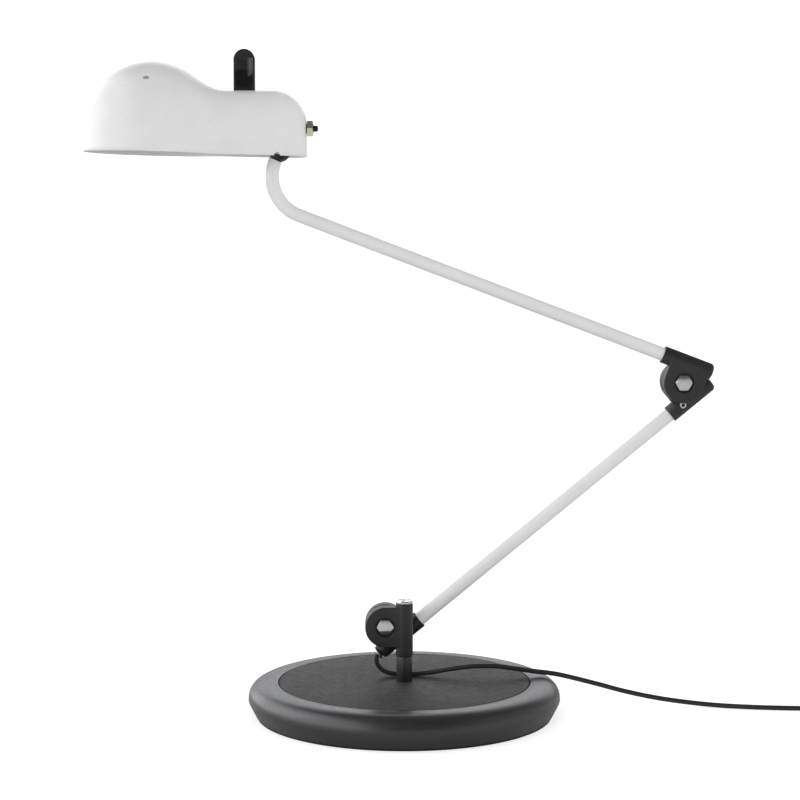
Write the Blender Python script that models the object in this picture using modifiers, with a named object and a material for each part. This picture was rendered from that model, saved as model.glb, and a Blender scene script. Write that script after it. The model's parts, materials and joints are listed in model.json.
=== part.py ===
"""Architect desk lamp: weighted round base, two tube arms and a capsule shade.

Units are metres and +Z is up. The origin is the centre of the base's underside,
+X runs towards the elbow and -Y is the side that shows the bolt heads.
"""
import math

import bmesh
import bpy
from mathutils import Matrix, Vector

# ---- base ----
BASE_R = 0.1153
BASE_H = 0.0250
BASE_FOOT_R = 0.1100
BASE_EDGE_W = 0.0165
BASE_EDGE_H = 0.0125
BASE_EDGE_POWER = 0.75
BASE_WALL = 0.0035
SKIRT_LOW_Z = 0.0105
SKIRT_IN = 0.0005
SEAM_R = 0.0926
SEAM_CHAMFER = 0.0004
SEAM_GAP = 0.0008
SHOULDER_IN_Z = 0.0140
DISC_T = 0.0030
WEIGHT_R = 0.0900
WEIGHT_LOW_Z = 0.0100
WEIGHT_WELL_R = 0.0080
PAD_T = 0.0015
PAD_IN = 0.0010

# ---- post ----
POST_R = 0.00585
SPIGOT_R = 0.0040
THREAD_R = 0.0038
THREAD_LOW_Z = 0.0040
SHOULDER_Z = 0.0124
SLEEVE_BOTTOM_Z = 0.0439
CAP_R = 0.0063
CAP_H = 0.0020
CAP_SLOT_R = 0.0034
CAP_SLOT_D = 0.0012
POST_NUT_R = 0.0068
POST_NUT_Z = (0.0045, 0.0095)
POST_WASHER = (0.0041, 0.0075, 0.0100, 0.0114)

# ---- arm brackets and their bolts ----
PIVOT_OFFSET = 0.0141
LOWER_PIVOT = Vector((-PIVOT_OFFSET, 0.0, 0.0656))
ELBOW_PIVOT = Vector((0.2048, 0.0, 0.2463))
LAYER_Y = 0.0131
BOSS_R = 0.0149
PLATE_T = 0.0114
PLATE_EDGE = 0.0007
SLEEVE_R = 0.0064
SLEEVE_MOUTH = 0.0217
SLEEVE_TAIL = 0.0171
SLEEVE_EDGE = 0.0004
TAIL_ROUND = 0.0030
OVERRUN = 0.0040
RECESS_R = 0.0073
RECESS_D = 0.0034
BOLT_R = 0.0030
HEX_R = 0.00628
HEX_H = 0.0026
WASHER_R = 0.0113
SET_SCREW_R = 0.0024
SET_SCREW_AT = 0.0100
SET_SCREW_H = 0.0013
SET_SEAT_IN = 0.0047

# ---- tube arms ----
TUBE_R = 0.0050
TUBE_WALL = 0.0010
TUBE_INSET = 0.0180
UPPER_SLOPE = math.radians(20.84)
BEND_R = 0.0300
BEND_STEPS = 10
BEND_END = math.radians(66.0)
BEND_REACH = 0.0056

# ---- ball joint and the fork inside the shade ----
BALL_C = Vector((-0.0904, 0.0, 0.4151))
BALL_R = 0.0082
STUD_R = 0.0034
STUD_L = 0.0052
TUBE_END = 0.0073
SOCKET_R = 0.0104
SOCKET_LOW = -0.0022
SOCKET_HIGH = 0.0058
TRUNNION_R = 0.0015
TRUNNION_HEAD_R = 0.0030
TRUNNION_HEAD_H = 0.0015
FORK_Y = 0.0125
FORK_T = 0.0015
FORK_W = 0.0120
FORK_TOP_Z = 0.44875
FORK_LEG_LOW_Z = 0.4125
STRAP_L = 0.0360
STRAP_SHIFT = 0.0140
FOOT_SCREW_R = 0.00155
SPACER_R = 0.0048
SPACER_TOP_Z = 0.4568
SCREW_HEAD_R = 0.0034
SCREW_HEAD_Z = (0.4424, 0.4444)
SCREW_TOP_Z = 0.4640

# ---- shade ----
DOME_C = Vector((-0.1823, 0.0, 0.4290))
DOME_R = 0.0500
BACK_C = Vector((-0.0957, 0.0, 0.4336))
BACK_R = 0.0250
SHADE_FILLET = 0.0100
SHADE_WALL = 0.0012
RIM_FRONT_Z = 0.4143
RIM_SLOPE = 0.0237
WAIST_STATIONS = (0.14, 0.27, 0.36, 0.43, 0.49, 0.54, 0.59, 0.66, 0.78, 0.90)
DOME_STATIONS = 24
BACK_STATIONS = 16
RISE_DEGREES = (8, 17, 26, 35, 44, 53, 62, 71, 80, 90)
VENTS = (("vent_small", 23.0, 0.018, 0.0014), ("vent_large", 42.5, -0.012, 0.0022))
VENT_REACH = 0.0060
NOTCH_AT = Vector((-0.0912, -0.0245, 0.4112))
NOTCH_R = 0.0021

# ---- handle, lamp and switch ----
HANDLE_X = -0.1156
HANDLE_W = 0.0153
HANDLE_T = 0.0100
HANDLE_TOP_Z = 0.4879
HANDLE_LIP = 0.0013
SCOOP_D = 0.0014
HOLDER_X = -0.1258
LAMP_Z = 0.4385
HOLDER_T = 0.0015
HOLDER_TOP_Z = 0.4467
HOLDER_DROP = 0.0165
BULB_R = 0.0215
BULB_REACH = 0.0510
SWITCH_Z = 0.4311
BUTTON_R = 0.0022
SWITCH_BORE_R = 0.0040
SWITCH_NUT_R = 0.0063
SWITCH_NUT_T = 0.0045

# ---- cord, coil and plug ----
CORD_R = 0.0018
CORD_STEP = 0.0066
GLAND_R = 0.0052
GLAND_H = 0.0020
CORD_ROUTE = [
    (-0.0204, 0.0131, 0.0413), (-0.0206, 0.0131, 0.0386), (-0.0200, 0.0131, 0.0353),
    (-0.0184, 0.0131, 0.0323), (-0.0154, 0.0131, 0.0297), (-0.0112, 0.0132, 0.0278),
    (-0.0060, 0.0134, 0.0270), (0.0000, 0.0136, 0.0269), (0.0085, 0.0136, 0.0269),
    (0.0142, 0.0134, 0.0273), (0.0200, 0.0127, 0.0282), (0.0351, 0.0106, 0.0312),
    (0.0504, 0.0097, 0.0333), (0.0683, 0.0101, 0.0333), (0.0797, 0.0111, 0.0317),
    (0.0971, 0.0130, 0.0287), (0.1090, 0.0139, 0.0271), (0.1210, 0.0144, 0.0247),
    (0.1434, 0.0154, 0.0188), (0.1661, 0.0160, 0.0125), (0.1888, 0.0161, 0.0076),
    (0.2114, 0.0158, 0.0042), (0.2342, 0.0142, 0.0021), (0.2557, 0.0092, 0.0019),
    (0.2774, 0.0056, 0.0019), (0.2958, 0.0040, 0.0019), (0.3080, 0.0033, 0.0019),
    (0.3200, 0.0028, 0.0019),
]
COIL_C = Vector((0.3460, 0.0230, 0.0074))
COIL_R = 0.0200
COIL_HALF_W = 0.0070
COIL_HALF_H = 0.0064
TIE_W = 0.0050
TIE_T = 0.0005
PLUG_C = Vector((0.4200, 0.0230, 0.0070))
PLUG_T = 0.0136
PIN_GAUGE = 0.0186

GAP = 0.0003
SLIDE_GAP = 0.00008
STEPS = 28
FINE_STEPS = 56
SMALL_STEPS = 20
HALF_TURN = math.pi
QUARTER_TURN = 0.5 * math.pi
TO_Y = Matrix.Rotation(-QUARTER_TURN, 4, "X")
TO_X = Matrix.Rotation(QUARTER_TURN, 4, "Y")
TO_FRONT = Matrix.Rotation(-QUARTER_TURN, 4, "Y")
MERGE = 0.00001

for leftover in list(bpy.data.objects):
    bpy.data.objects.remove(leftover, do_unlink=True)

lamp = bpy.data.collections.new("architect_desk_lamp")
cutters = bpy.data.collections.new("cutters")
bpy.context.scene.collection.children.link(lamp)
bpy.context.scene.collection.children.link(cutters)


def material(name, color, metallic, roughness):
    mat = bpy.data.materials.new(name)
    mat.use_nodes = True
    shader = mat.node_tree.nodes["Principled BSDF"]
    shader.inputs["Base Color"].default_value = (*color, 1.0)
    shader.inputs["Metallic"].default_value = metallic
    shader.inputs["Roughness"].default_value = roughness
    return mat


WHITE = material("white_enamel", (0.86, 0.86, 0.87), 0.0, 0.2)
CHARCOAL = material("charcoal_paint", (0.12, 0.12, 0.125), 0.0, 0.5)
CAST = material("cast_iron", (0.20, 0.20, 0.21), 0.6, 0.7)
MOULDED = material("black_moulded", (0.03, 0.03, 0.032), 0.0, 0.5)
GLOSS = material("black_gloss", (0.01, 0.01, 0.012), 0.0, 0.1)
CHROME = material("chrome", (0.80, 0.80, 0.82), 1.0, 0.08)
STEEL = material("steel", (0.55, 0.55, 0.56), 1.0, 0.35)
BRASS = material("brass", (0.72, 0.55, 0.28), 1.0, 0.3)
CERAMIC = material("white_ceramic", (0.85, 0.84, 0.80), 0.0, 0.4)
OPAL = material("opal_glass", (0.92, 0.91, 0.88), 0.0, 0.15)
RUBBER = material("black_rubber", (0.03, 0.03, 0.03), 0.0, 0.7)
FLEX = material("black_flex", (0.03, 0.03, 0.03), 0.0, 0.5)


# ---- joint axes: each moving piece hangs from the empty on its own axis ----
axis_at = {}


def joint_axis(name, point, parent=None):
    empty = bpy.data.objects.new(name, None)
    empty.empty_display_size = 0.02
    lamp.objects.link(empty)
    empty.parent = parent
    empty.location = point - (axis_at[parent.name] if parent else Vector())
    axis_at[name] = point
    return empty


post_axis = joint_axis("post_swivel_axis", Vector((0.0, 0.0, LOWER_PIVOT.z)))
lower_axis = joint_axis("lower_hinge_axis", LOWER_PIVOT + Vector((0.0, LAYER_Y, 0.0)), post_axis)
elbow_axis = joint_axis("elbow_hinge_axis", ELBOW_PIVOT, lower_axis)
turn_axis = joint_axis("head_swivel_axis", BALL_C, elbow_axis)
tilt_axis = joint_axis("head_tilt_axis", BALL_C, turn_axis)


# ---- building tools ----
def add_object(name, data, mat, matrix=None, parent=None, cutter=False):
    """Place mesh or curve data, under its joint's empty or as a hidden cutter."""
    obj = bpy.data.objects.new(name, data)
    (cutters if cutter else lamp).objects.link(obj)
    obj.data.materials.append(mat)
    matrix = matrix or Matrix.Identity(4)
    if parent is not None:
        obj.parent = parent
        matrix = Matrix.Translation(-axis_at[parent.name]) @ matrix
    obj.matrix_basis = matrix
    if cutter:
        obj.hide_render = True
        obj.display_type = "WIRE"
    return obj


def mesh_of(name, bm, smooth=True):
    mesh = bpy.data.meshes.new(name)
    bm.to_mesh(mesh)
    bm.free()
    if smooth:
        mesh.shade_smooth()
        mesh.set_sharp_from_angle(angle=math.radians(35.0))
    return mesh


def turned(name, outline, mat, matrix=None, parent=None, steps=STEPS, ring=False, cutter=False):
    """Screw a profile about Z. Its (radius, height) points go up the outer side."""
    bm = bmesh.new()
    verts = [bm.verts.new((radius, 0.0, height)) for radius, height in reversed(outline)]
    for low, high in zip(verts, verts[1:]):
        bm.edges.new((low, high))
    if ring:
        bm.edges.new((verts[-1], verts[0]))
    obj = add_object(name, mesh_of(name, bm, smooth=False), mat, matrix, parent, cutter)
    screw = obj.modifiers.new("turn", "SCREW")
    screw.steps = steps
    screw.render_steps = steps
    screw.use_merge_vertices = True
    screw.merge_threshold = MERGE
    screw.use_smooth_shade = True
    return obj


def rod(name, radius, low, high, mat, matrix=None, parent=None, steps=SMALL_STEPS, cutter=False):
    """A plain cylinder along local Z from low to high; 6 steps make a hexagon."""
    bm = bmesh.new()
    bmesh.ops.create_cone(
        bm, cap_ends=True, segments=steps, radius1=radius, radius2=radius, depth=high - low)
    bmesh.ops.translate(bm, vec=(0.0, 0.0, 0.5 * (low + high)), verts=bm.verts)
    return add_object(name, mesh_of(name, bm), mat, matrix, parent, cutter)


def box(name, size, centre, mat, parent=None, cutter=False):
    bm = bmesh.new()
    bmesh.ops.create_cube(bm, size=1.0)
    bmesh.ops.scale(bm, vec=Vector(size), verts=bm.verts)
    bmesh.ops.translate(bm, vec=Vector(centre), verts=bm.verts)
    return add_object(name, mesh_of(name, bm), mat, None, parent, cutter)


def plate(name, outline, thickness, edge, mat, matrix=None, parent=None, cutter=False):
    """A flat XZ outline made `thickness` thick along Y, with rounded edges."""
    bm = bmesh.new()
    bm.faces.new([bm.verts.new((x, 0.0, z)) for x, z in outline])
    obj = add_object(name, mesh_of(name, bm), mat, matrix, parent, cutter)
    solid = obj.modifiers.new("thickness", "SOLIDIFY")
    solid.thickness = thickness
    solid.offset = 0.0
    if edge:
        bevel = obj.modifiers.new("edge", "BEVEL")
        bevel.width = edge
        bevel.segments = 2
        bevel.limit_method = "ANGLE"
        bevel.angle_limit = math.radians(50.0)
    return obj


def boolean(obj, tool, operation):
    mod = obj.modifiers.new(tool.name, "BOOLEAN")
    mod.operation = operation
    mod.solver = "EXACT"
    mod.object = tool


def arc(centre, radius, start, end, steps):
    """Points of an arc from start to end degrees, as (radius, height) or (x, z)."""
    points = []
    for k in range(steps + 1):
        angle = math.radians(start + (end - start) * k / steps)
        points.append((centre[0] + radius * math.cos(angle), centre[1] + radius * math.sin(angle)))
    return points


def ring_box(inner, outer, low, high):
    """The four corners of a square-cut ring's section."""
    return [(inner, low), (outer, low), (outer, high), (inner, high)]


# ---- base ----
disc_bed_z = BASE_H - DISC_T - GAP


def make_base():
    section = [(BASE_FOOT_R - BASE_WALL, PAD_T), (BASE_FOOT_R, PAD_T)]
    section += [(BASE_R - SKIRT_IN, SKIRT_LOW_Z)]
    section += [
        (BASE_R - BASE_EDGE_W * (1.0 - max(out, 0.0) ** BASE_EDGE_POWER),
         BASE_H - BASE_EDGE_H * (1.0 - up ** BASE_EDGE_POWER))
        for out, up in arc((0.0, 0.0), 1.0, 0.0, 90.0, 9)
    ]
    section += [
        (SEAM_R + SEAM_GAP + SEAM_CHAMFER, BASE_H),
        (SEAM_R + SEAM_GAP, BASE_H - SEAM_CHAMFER),
        (SEAM_R + SEAM_GAP, disc_bed_z),
        (BASE_R - 0.6 * BASE_EDGE_W, disc_bed_z - SEAM_CHAMFER),
        (BASE_R - BASE_WALL, SHOULDER_IN_Z),
        (BASE_R - BASE_WALL, WEIGHT_LOW_Z),
    ]
    turned("base_ring", section, CHARCOAL, steps=FINE_STEPS, ring=True)
    bore = POST_R + 0.0002
    lid = ring_box(bore, SEAM_R, BASE_H - DISC_T, BASE_H)
    lid[2:3] = [(SEAM_R, BASE_H - SEAM_CHAMFER), (SEAM_R - SEAM_CHAMFER, BASE_H)]
    turned("base_top_disc", lid, CHARCOAL, steps=FINE_STEPS, ring=True)
    weight = [(WEIGHT_WELL_R, WEIGHT_LOW_Z), (WEIGHT_R, WEIGHT_LOW_Z), (WEIGHT_R, disc_bed_z)]
    weight += [(bore, disc_bed_z), (bore, SHOULDER_Z), (WEIGHT_WELL_R, SHOULDER_Z)]
    turned("base_weight", weight, CAST, steps=FINE_STEPS, ring=True)
    pad_r = BASE_FOOT_R - PAD_IN
    pad = [(0.0, 0.0), (pad_r, 0.0), (pad_r + 0.5 * PAD_IN, PAD_T - GAP), (0.0, PAD_T - GAP)]
    turned("base_foot_pad", pad, RUBBER, steps=FINE_STEPS)


# ---- post with its nut below and its cap screw above ----
def make_post():
    cap_z = LOWER_PIVOT.z + SLEEVE_TAIL + GAP
    shaft = [
        (0.0, THREAD_LOW_Z),
        (THREAD_R, THREAD_LOW_Z),
        (THREAD_R, SHOULDER_Z - 0.0002),
        (POST_R, SHOULDER_Z + 0.0002),
        (POST_R, SLEEVE_BOTTOM_Z - GAP),
        (SPIGOT_R, SLEEVE_BOTTOM_Z - GAP),
        (SPIGOT_R, cap_z - 0.0001),
        (0.0, cap_z - 0.0001),
    ]
    turned("post", shaft, GLOSS)
    nut = rod("post_nut", POST_NUT_R, *POST_NUT_Z, STEEL, steps=6)
    drill = rod("post_nut_bore", THREAD_R + 0.0002, 0.0, SHOULDER_Z, STEEL, cutter=True)
    boolean(nut, drill, "DIFFERENCE")
    turned("post_washer", ring_box(*POST_WASHER), STEEL, ring=True)
    rim = cap_z + CAP_H
    slot_floor = rim - CAP_SLOT_D
    cap = [(0.0, cap_z), (CAP_R, cap_z), (CAP_R, rim - 0.0008), (CAP_R - 0.0008, rim)]
    cap += [(CAP_SLOT_R, rim), (CAP_SLOT_R - 0.0004, slot_floor), (0.0, slot_floor)]
    turned("post_cap", cap, CHROME)


# ---- the four arm brackets ----
def bracket_frame(pivot, up, out, layer):
    """Local +Z runs from the sleeve's mouth to its tail, +X from pivot to sleeve."""
    across = up.cross(out)
    axes = Matrix((out, across, up)).transposed().to_4x4()
    return Matrix.Translation(Vector((pivot.x, layer, pivot.z))) @ axes


def front_side(frame):
    """+1 or -1: the local Y side of a bracket that faces the lamp's front."""
    return -1.0 if frame.col[1].y > 0.0 else 1.0


def on_sleeve(frame, z=0.0):
    return frame @ Matrix.Translation((PIVOT_OFFSET, 0.0, z))


def make_bracket(name, frame, parent, recess_side, bore, through=False, outlet=0.0):
    """A round boss on the pivot joined to a tube sleeve by a flat plate."""
    outline = arc((0.0, 0.0), BOSS_R, 90.0, 270.0, 14)
    root = PIVOT_OFFSET + 0.0013
    outline += [(root, -BOSS_R), (root, BOSS_R)]
    obj = plate(name, outline, PLATE_T, PLATE_EDGE, MOULDED, frame, parent)
    round_r = SLEEVE_EDGE if through else TAIL_ROUND
    barrel = [
        (0.0, -SLEEVE_MOUTH),
        (SLEEVE_R - SLEEVE_EDGE, -SLEEVE_MOUTH),
        (SLEEVE_R, -SLEEVE_MOUTH + SLEEVE_EDGE),
    ]
    barrel += arc((SLEEVE_R - round_r, SLEEVE_TAIL - round_r), round_r, 0.0, 90.0, 4)
    barrel += [(0.0, SLEEVE_TAIL)]
    sleeve = on_sleeve(frame)
    joined = turned(name + "_sleeve", barrel, MOULDED, sleeve, parent, cutter=True)
    boolean(obj, joined, "UNION")
    across = frame @ TO_Y
    bolt_hole = rod(name + "_hole", BOLT_R + 0.0001, -0.02, 0.02, MOULDED, across, parent,
                    steps=24, cutter=True)
    boolean(obj, bolt_hole, "DIFFERENCE")
    face = 0.5 * PLATE_T * recess_side
    depths = sorted((face - RECESS_D * recess_side, face + OVERRUN * recess_side))
    recess = rod(name + "_recess", RECESS_R, *depths, MOULDED, across, parent, STEPS, cutter=True)
    boolean(obj, recess, "DIFFERENCE")
    deep = SLEEVE_TAIL + OVERRUN if through else TUBE_INSET - SLEEVE_MOUTH + 2.0 * GAP
    tube_hole = rod(name + "_bore", bore, -SLEEVE_MOUTH - OVERRUN, deep, MOULDED, sleeve, parent,
                    steps=26, cutter=True)
    boolean(obj, tube_hole, "DIFFERENCE")
    if outlet:
        way_out = rod(name + "_outlet", outlet, deep - GAP, SLEEVE_TAIL + OVERRUN, MOULDED,
                      sleeve, parent, cutter=True)
        boolean(obj, way_out, "DIFFERENCE")
    return obj


def add_set_screw(name, bracket, frame, parent, side):
    """A slotted screw sunk in the sleeve, in a seat that reaches the tube."""
    where = on_sleeve(frame, -SET_SCREW_AT) @ TO_Y
    seat_depths = sorted((SET_SEAT_IN * side, (SLEEVE_R + OVERRUN) * side))
    seat = rod(name + "_seat", SET_SCREW_R + 0.0002, *seat_depths, MOULDED, where, parent,
               cutter=True)
    boolean(bracket, seat, "DIFFERENCE")
    inner = TUBE_R + 0.00015
    depths = sorted((inner * side, (inner + SET_SCREW_H) * side))
    rod(name, SET_SCREW_R, *depths, CHROME, where, parent)


def make_pivot(prefix, pivot, parent):
    """Hex bolt from the front, nut at the back and a washer between the plates."""
    at = Matrix.Translation(Vector((pivot.x, 0.0, pivot.z))) @ TO_Y
    seat = -0.5 * PLATE_T + RECESS_D - GAP
    tip = LAYER_Y + 0.5 * PLATE_T - 0.0006
    bolt = rod(prefix + "_bolt", HEX_R, seat - HEX_H, seat, CHROME, at, parent, steps=6)
    shank = rod(prefix + "_shank", BOLT_R, seat - 0.001, tip, CHROME, at, parent, 24, cutter=True)
    boolean(bolt, shank, "UNION")
    nut_seat = LAYER_Y + 0.5 * PLATE_T - RECESS_D + GAP
    nut = rod(prefix + "_nut", HEX_R, nut_seat, nut_seat + HEX_H, STEEL, at, parent, steps=6)
    thread = rod(prefix + "_thread", BOLT_R + 0.0001, 0.0, 0.03, STEEL, at, parent, 24, cutter=True)
    boolean(nut, thread, "DIFFERENCE")
    faces = (0.5 * PLATE_T + GAP, LAYER_Y - 0.5 * PLATE_T - GAP)
    turned(prefix + "_washer", ring_box(BOLT_R + GAP, WASHER_R, *faces), MOULDED, at, parent,
           ring=True)


lower_up = (ELBOW_PIVOT - LOWER_PIVOT).normalized()
lower_out = Vector((lower_up.z, 0.0, -lower_up.x))
upper_up = Vector((math.cos(UPPER_SLOPE), 0.0, -math.sin(UPPER_SLOPE)))
upper_out = Vector((math.sin(UPPER_SLOPE), 0.0, math.cos(UPPER_SLOPE)))
base_frame = bracket_frame(LOWER_PIVOT, Vector((0, 0, 1)), Vector((1, 0, 0)), 0.0)
foot_frame = bracket_frame(LOWER_PIVOT, -lower_up, lower_out, LAYER_Y)
head_frame = bracket_frame(ELBOW_PIVOT, lower_up, lower_out, LAYER_Y)
upper_frame = bracket_frame(ELBOW_PIVOT, upper_up, upper_out, 0.0)


def make_brackets():
    tube_bore = TUBE_R + 0.0002
    make_bracket("base_bracket", base_frame, post_axis, front_side(base_frame),
                 SPIGOT_R + SLIDE_GAP, through=True)
    foot = make_bracket("lower_arm_foot_bracket", foot_frame, lower_axis,
                        -front_side(foot_frame), tube_bore, outlet=STUD_R)
    add_set_screw("foot_set_screw", foot, foot_frame, lower_axis, front_side(foot_frame))
    head = make_bracket("lower_arm_head_bracket", head_frame, lower_axis,
                        -front_side(head_frame), tube_bore)
    add_set_screw("head_set_screw", head, head_frame, lower_axis, front_side(head_frame))
    upper = make_bracket("upper_arm_bracket", upper_frame, elbow_axis,
                         front_side(upper_frame), tube_bore)
    add_set_screw("upper_set_screw", upper, upper_frame, elbow_axis, -front_side(upper_frame))
    make_pivot("lower_pivot", LOWER_PIVOT, post_axis)
    make_pivot("elbow", ELBOW_PIVOT, elbow_axis)


# ---- tube arms ----
def pipe(name, points, parent):
    """A bent tube: a round curve made mesh, then given its wall by Solidify."""
    curve = bpy.data.curves.new(name, "CURVE")
    curve.dimensions = "3D"
    curve.bevel_depth = TUBE_R
    curve.bevel_resolution = 8
    spline = curve.splines.new("POLY")
    spline.points.add(len(points) - 1)
    for k, point in enumerate(points):
        spline.points[k].co = (*point, 1.0)
    guide = bpy.data.objects.new(name + "_line", curve)
    lamp.objects.link(guide)
    bpy.context.view_layer.update()
    evaluated = guide.evaluated_get(bpy.context.evaluated_depsgraph_get())
    mesh = bpy.data.meshes.new_from_object(evaluated)
    bpy.data.objects.remove(guide, do_unlink=True)
    bm = bmesh.new()
    bm.from_mesh(mesh)
    bmesh.ops.remove_doubles(bm, verts=bm.verts, dist=MERGE)
    bmesh.ops.recalc_face_normals(bm, faces=bm.faces)
    obj = add_object(name, mesh_of(name, bm), WHITE, None, parent)
    wall = obj.modifiers.new("wall", "SOLIDIFY")
    wall.thickness = TUBE_WALL
    wall.offset = -1.0
    return obj


def upper_arm_line():
    """Up the straight arm, round the bend and on to the ball's surface."""
    start = on_sleeve(upper_frame, TUBE_INSET - SLEEVE_MOUTH).translation
    bend_x = BALL_C.x - BEND_REACH + BEND_R
    climb = (start.x - bend_x) * math.tan(UPPER_SLOPE)
    centre = Vector((bend_x, 0.0, start.z + climb + BEND_R / math.cos(UPPER_SLOPE)))
    line = [start]
    first = HALF_TURN - UPPER_SLOPE
    for k in range(BEND_STEPS + 1):
        heading = first + (BEND_END - first) * k / BEND_STEPS
        point = centre + BEND_R * Vector((-math.sin(heading), 0.0, math.cos(heading)))
        if (point - BALL_C).length > BALL_R + 4.0 * GAP:
            line.append(point)
    towards = (BALL_C - line[-1]).normalized()
    line.append(BALL_C - towards * TUBE_END)
    return line, towards


upper_line, ball_up = upper_arm_line()


def make_arms():
    inset = TUBE_INSET - SLEEVE_MOUTH
    ends = [on_sleeve(frame, inset).translation for frame in (foot_frame, head_frame)]
    half = 0.5 * (ends[1] - ends[0]).length
    turn = lower_up.to_track_quat("Z", "Y").to_matrix().to_4x4()
    middle = Matrix.Translation(0.5 * (ends[0] + ends[1])) @ turn
    turned("lower_arm_tube", ring_box(TUBE_R - TUBE_WALL, TUBE_R, -half, half), WHITE, middle,
           lower_axis, ring=True)
    pipe("upper_arm_tube", upper_line, elbow_axis)


# ---- ball joint: ball on the arm, socket ring round it, trunnions, fork ----
def make_head_joint():
    stem = math.sqrt(BALL_R ** 2 - STUD_R ** 2)
    ball = [(0.0, -BALL_R - STUD_L), (STUD_R, -BALL_R - STUD_L)]
    ball += arc((0.0, 0.0), BALL_R, -math.degrees(math.acos(STUD_R / BALL_R)), 90.0, 11)
    ball[2] = (STUD_R, -stem)
    ball[-1] = (0.0, BALL_R)
    turn = ball_up.to_track_quat("Z", "Y").to_matrix().to_4x4()
    at = Matrix.Translation(BALL_C)
    turned("head_ball", ball, MOULDED, at @ turn, elbow_axis)
    seat_r = BALL_R + GAP
    low, high = (math.degrees(math.asin(z / seat_r)) for z in (SOCKET_LOW, SOCKET_HIGH))
    socket = [(SOCKET_R, SOCKET_LOW), (SOCKET_R, SOCKET_HIGH)]
    socket += arc((0.0, 0.0), seat_r, high, low, 6)
    turned("head_socket", socket, BRASS, at, turn_axis, ring=True)
    outside = FORK_Y + FORK_T + GAP
    pin = [
        (0.0, SOCKET_R + 0.0002),
        (TRUNNION_R, SOCKET_R + 0.0002),
        (TRUNNION_R, outside),
        (TRUNNION_HEAD_R, outside),
        (TRUNNION_HEAD_R, outside + TRUNNION_HEAD_H),
        (0.0, outside + TRUNNION_HEAD_H),
    ]
    for name, side in (("trunnion_near", -1.0), ("trunnion_far", 1.0)):
        lay = Matrix.Rotation(-QUARTER_TURN * side, 4, "X")
        turned(name, pin, STEEL, at @ lay, turn_axis, SMALL_STEPS)


def make_fork():
    width = 2.0 * (FORK_Y + FORK_T)
    top_z = FORK_TOP_Z - 0.5 * FORK_T
    fork = box("head_fork", (FORK_W, width, FORK_T), (BALL_C.x, 0.0, top_z), STEEL, tilt_axis)
    leg_h = FORK_TOP_Z - FORK_LEG_LOW_Z
    for name, side in (("fork_leg_near", -1.0), ("fork_leg_far", 1.0)):
        centre = (BALL_C.x, side * (FORK_Y + 0.5 * FORK_T), FORK_TOP_Z - 0.5 * leg_h)
        leg = box(name, (FORK_W, FORK_T, leg_h), centre, STEEL, tilt_axis, cutter=True)
        boolean(fork, leg, "UNION")
    strap = box("fork_strap", (STRAP_L, FORK_W, FORK_T), (BALL_C.x - STRAP_SHIFT, 0.0, top_z), STEEL,
                tilt_axis, cutter=True)
    boolean(fork, strap, "UNION")
    eyes = rod("fork_eyes", TRUNNION_R + 0.00006, -0.03, 0.03, STEEL,
               Matrix.Translation(BALL_C) @ TO_Y, tilt_axis, cutter=True)
    boolean(fork, eyes, "DIFFERENCE")
    at = Matrix.Translation((HANDLE_X, 0.0, 0.0))
    hole = rod("strap_hole", FOOT_SCREW_R + GAP, 0.440, 0.456, STEEL, at, tilt_axis, cutter=True)
    boolean(fork, hole, "DIFFERENCE")
    spacer = ring_box(FOOT_SCREW_R + GAP, SPACER_R, FORK_TOP_Z + GAP, SPACER_TOP_Z)
    turned("fork_spacer", spacer, STEEL, at, tilt_axis, SMALL_STEPS, ring=True)
    head_low, head_high = SCREW_HEAD_Z
    screw = [(0.0, head_low), (SCREW_HEAD_R, head_low), (SCREW_HEAD_R, head_high)]
    screw += [(FOOT_SCREW_R, head_high), (FOOT_SCREW_R, SCREW_TOP_Z), (0.0, SCREW_TOP_Z)]
    turned("handle_screw", screw, STEEL, at, tilt_axis, SMALL_STEPS)


# ---- shade ----
def shade_field(p):
    """Distance to a dome and a narrower round back, both carried straight down."""
    over = max(p.z - DOME_C.z, 0.0)
    dome = Vector((p.x - DOME_C.x, p.y, over)).length - DOME_R
    near = min(max(p.x, DOME_C.x), BACK_C.x)
    over = max(p.z - BACK_C.z, 0.0)
    back = Vector((p.x - near, p.y, over)).length - BACK_R
    fillet = math.hypot(max(SHADE_FILLET - dome, 0.0), max(SHADE_FILLET - back, 0.0))
    return max(SHADE_FILLET, min(dome, back)) - fillet


def shade_point(x, dx, dy, tilt):
    """Where a ray from the shade's spine meets its outer surface."""
    origin = Vector((x, 0.0, DOME_C.z))
    ray = Vector((dx * math.cos(tilt), dy * math.cos(tilt), math.sin(tilt)))
    low, high = 0.0, 0.08
    for _ in range(34):
        middle = 0.5 * (low + high)
        if shade_field(origin + ray * middle) < 0.0:
            low = middle
        else:
            high = middle
    return origin + ray * low


def shade_stations():
    """Spine places and plan directions, once round the shade."""
    spine = [DOME_C.x + (BACK_C.x - DOME_C.x) * share for share in WAIST_STATIONS]
    stations = []
    for k in range(DOME_STATIONS + 1):
        angle = QUARTER_TURN + HALF_TURN * k / DOME_STATIONS
        stations.append((DOME_C.x, math.cos(angle), math.sin(angle)))
    stations += [(x, 0.0, -1.0) for x in spine]
    for k in range(BACK_STATIONS + 1):
        angle = -QUARTER_TURN + HALF_TURN * k / BACK_STATIONS
        stations.append((BACK_C.x, math.cos(angle), math.sin(angle)))
    return stations + [(x, 0.0, 1.0) for x in reversed(spine)]


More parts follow.
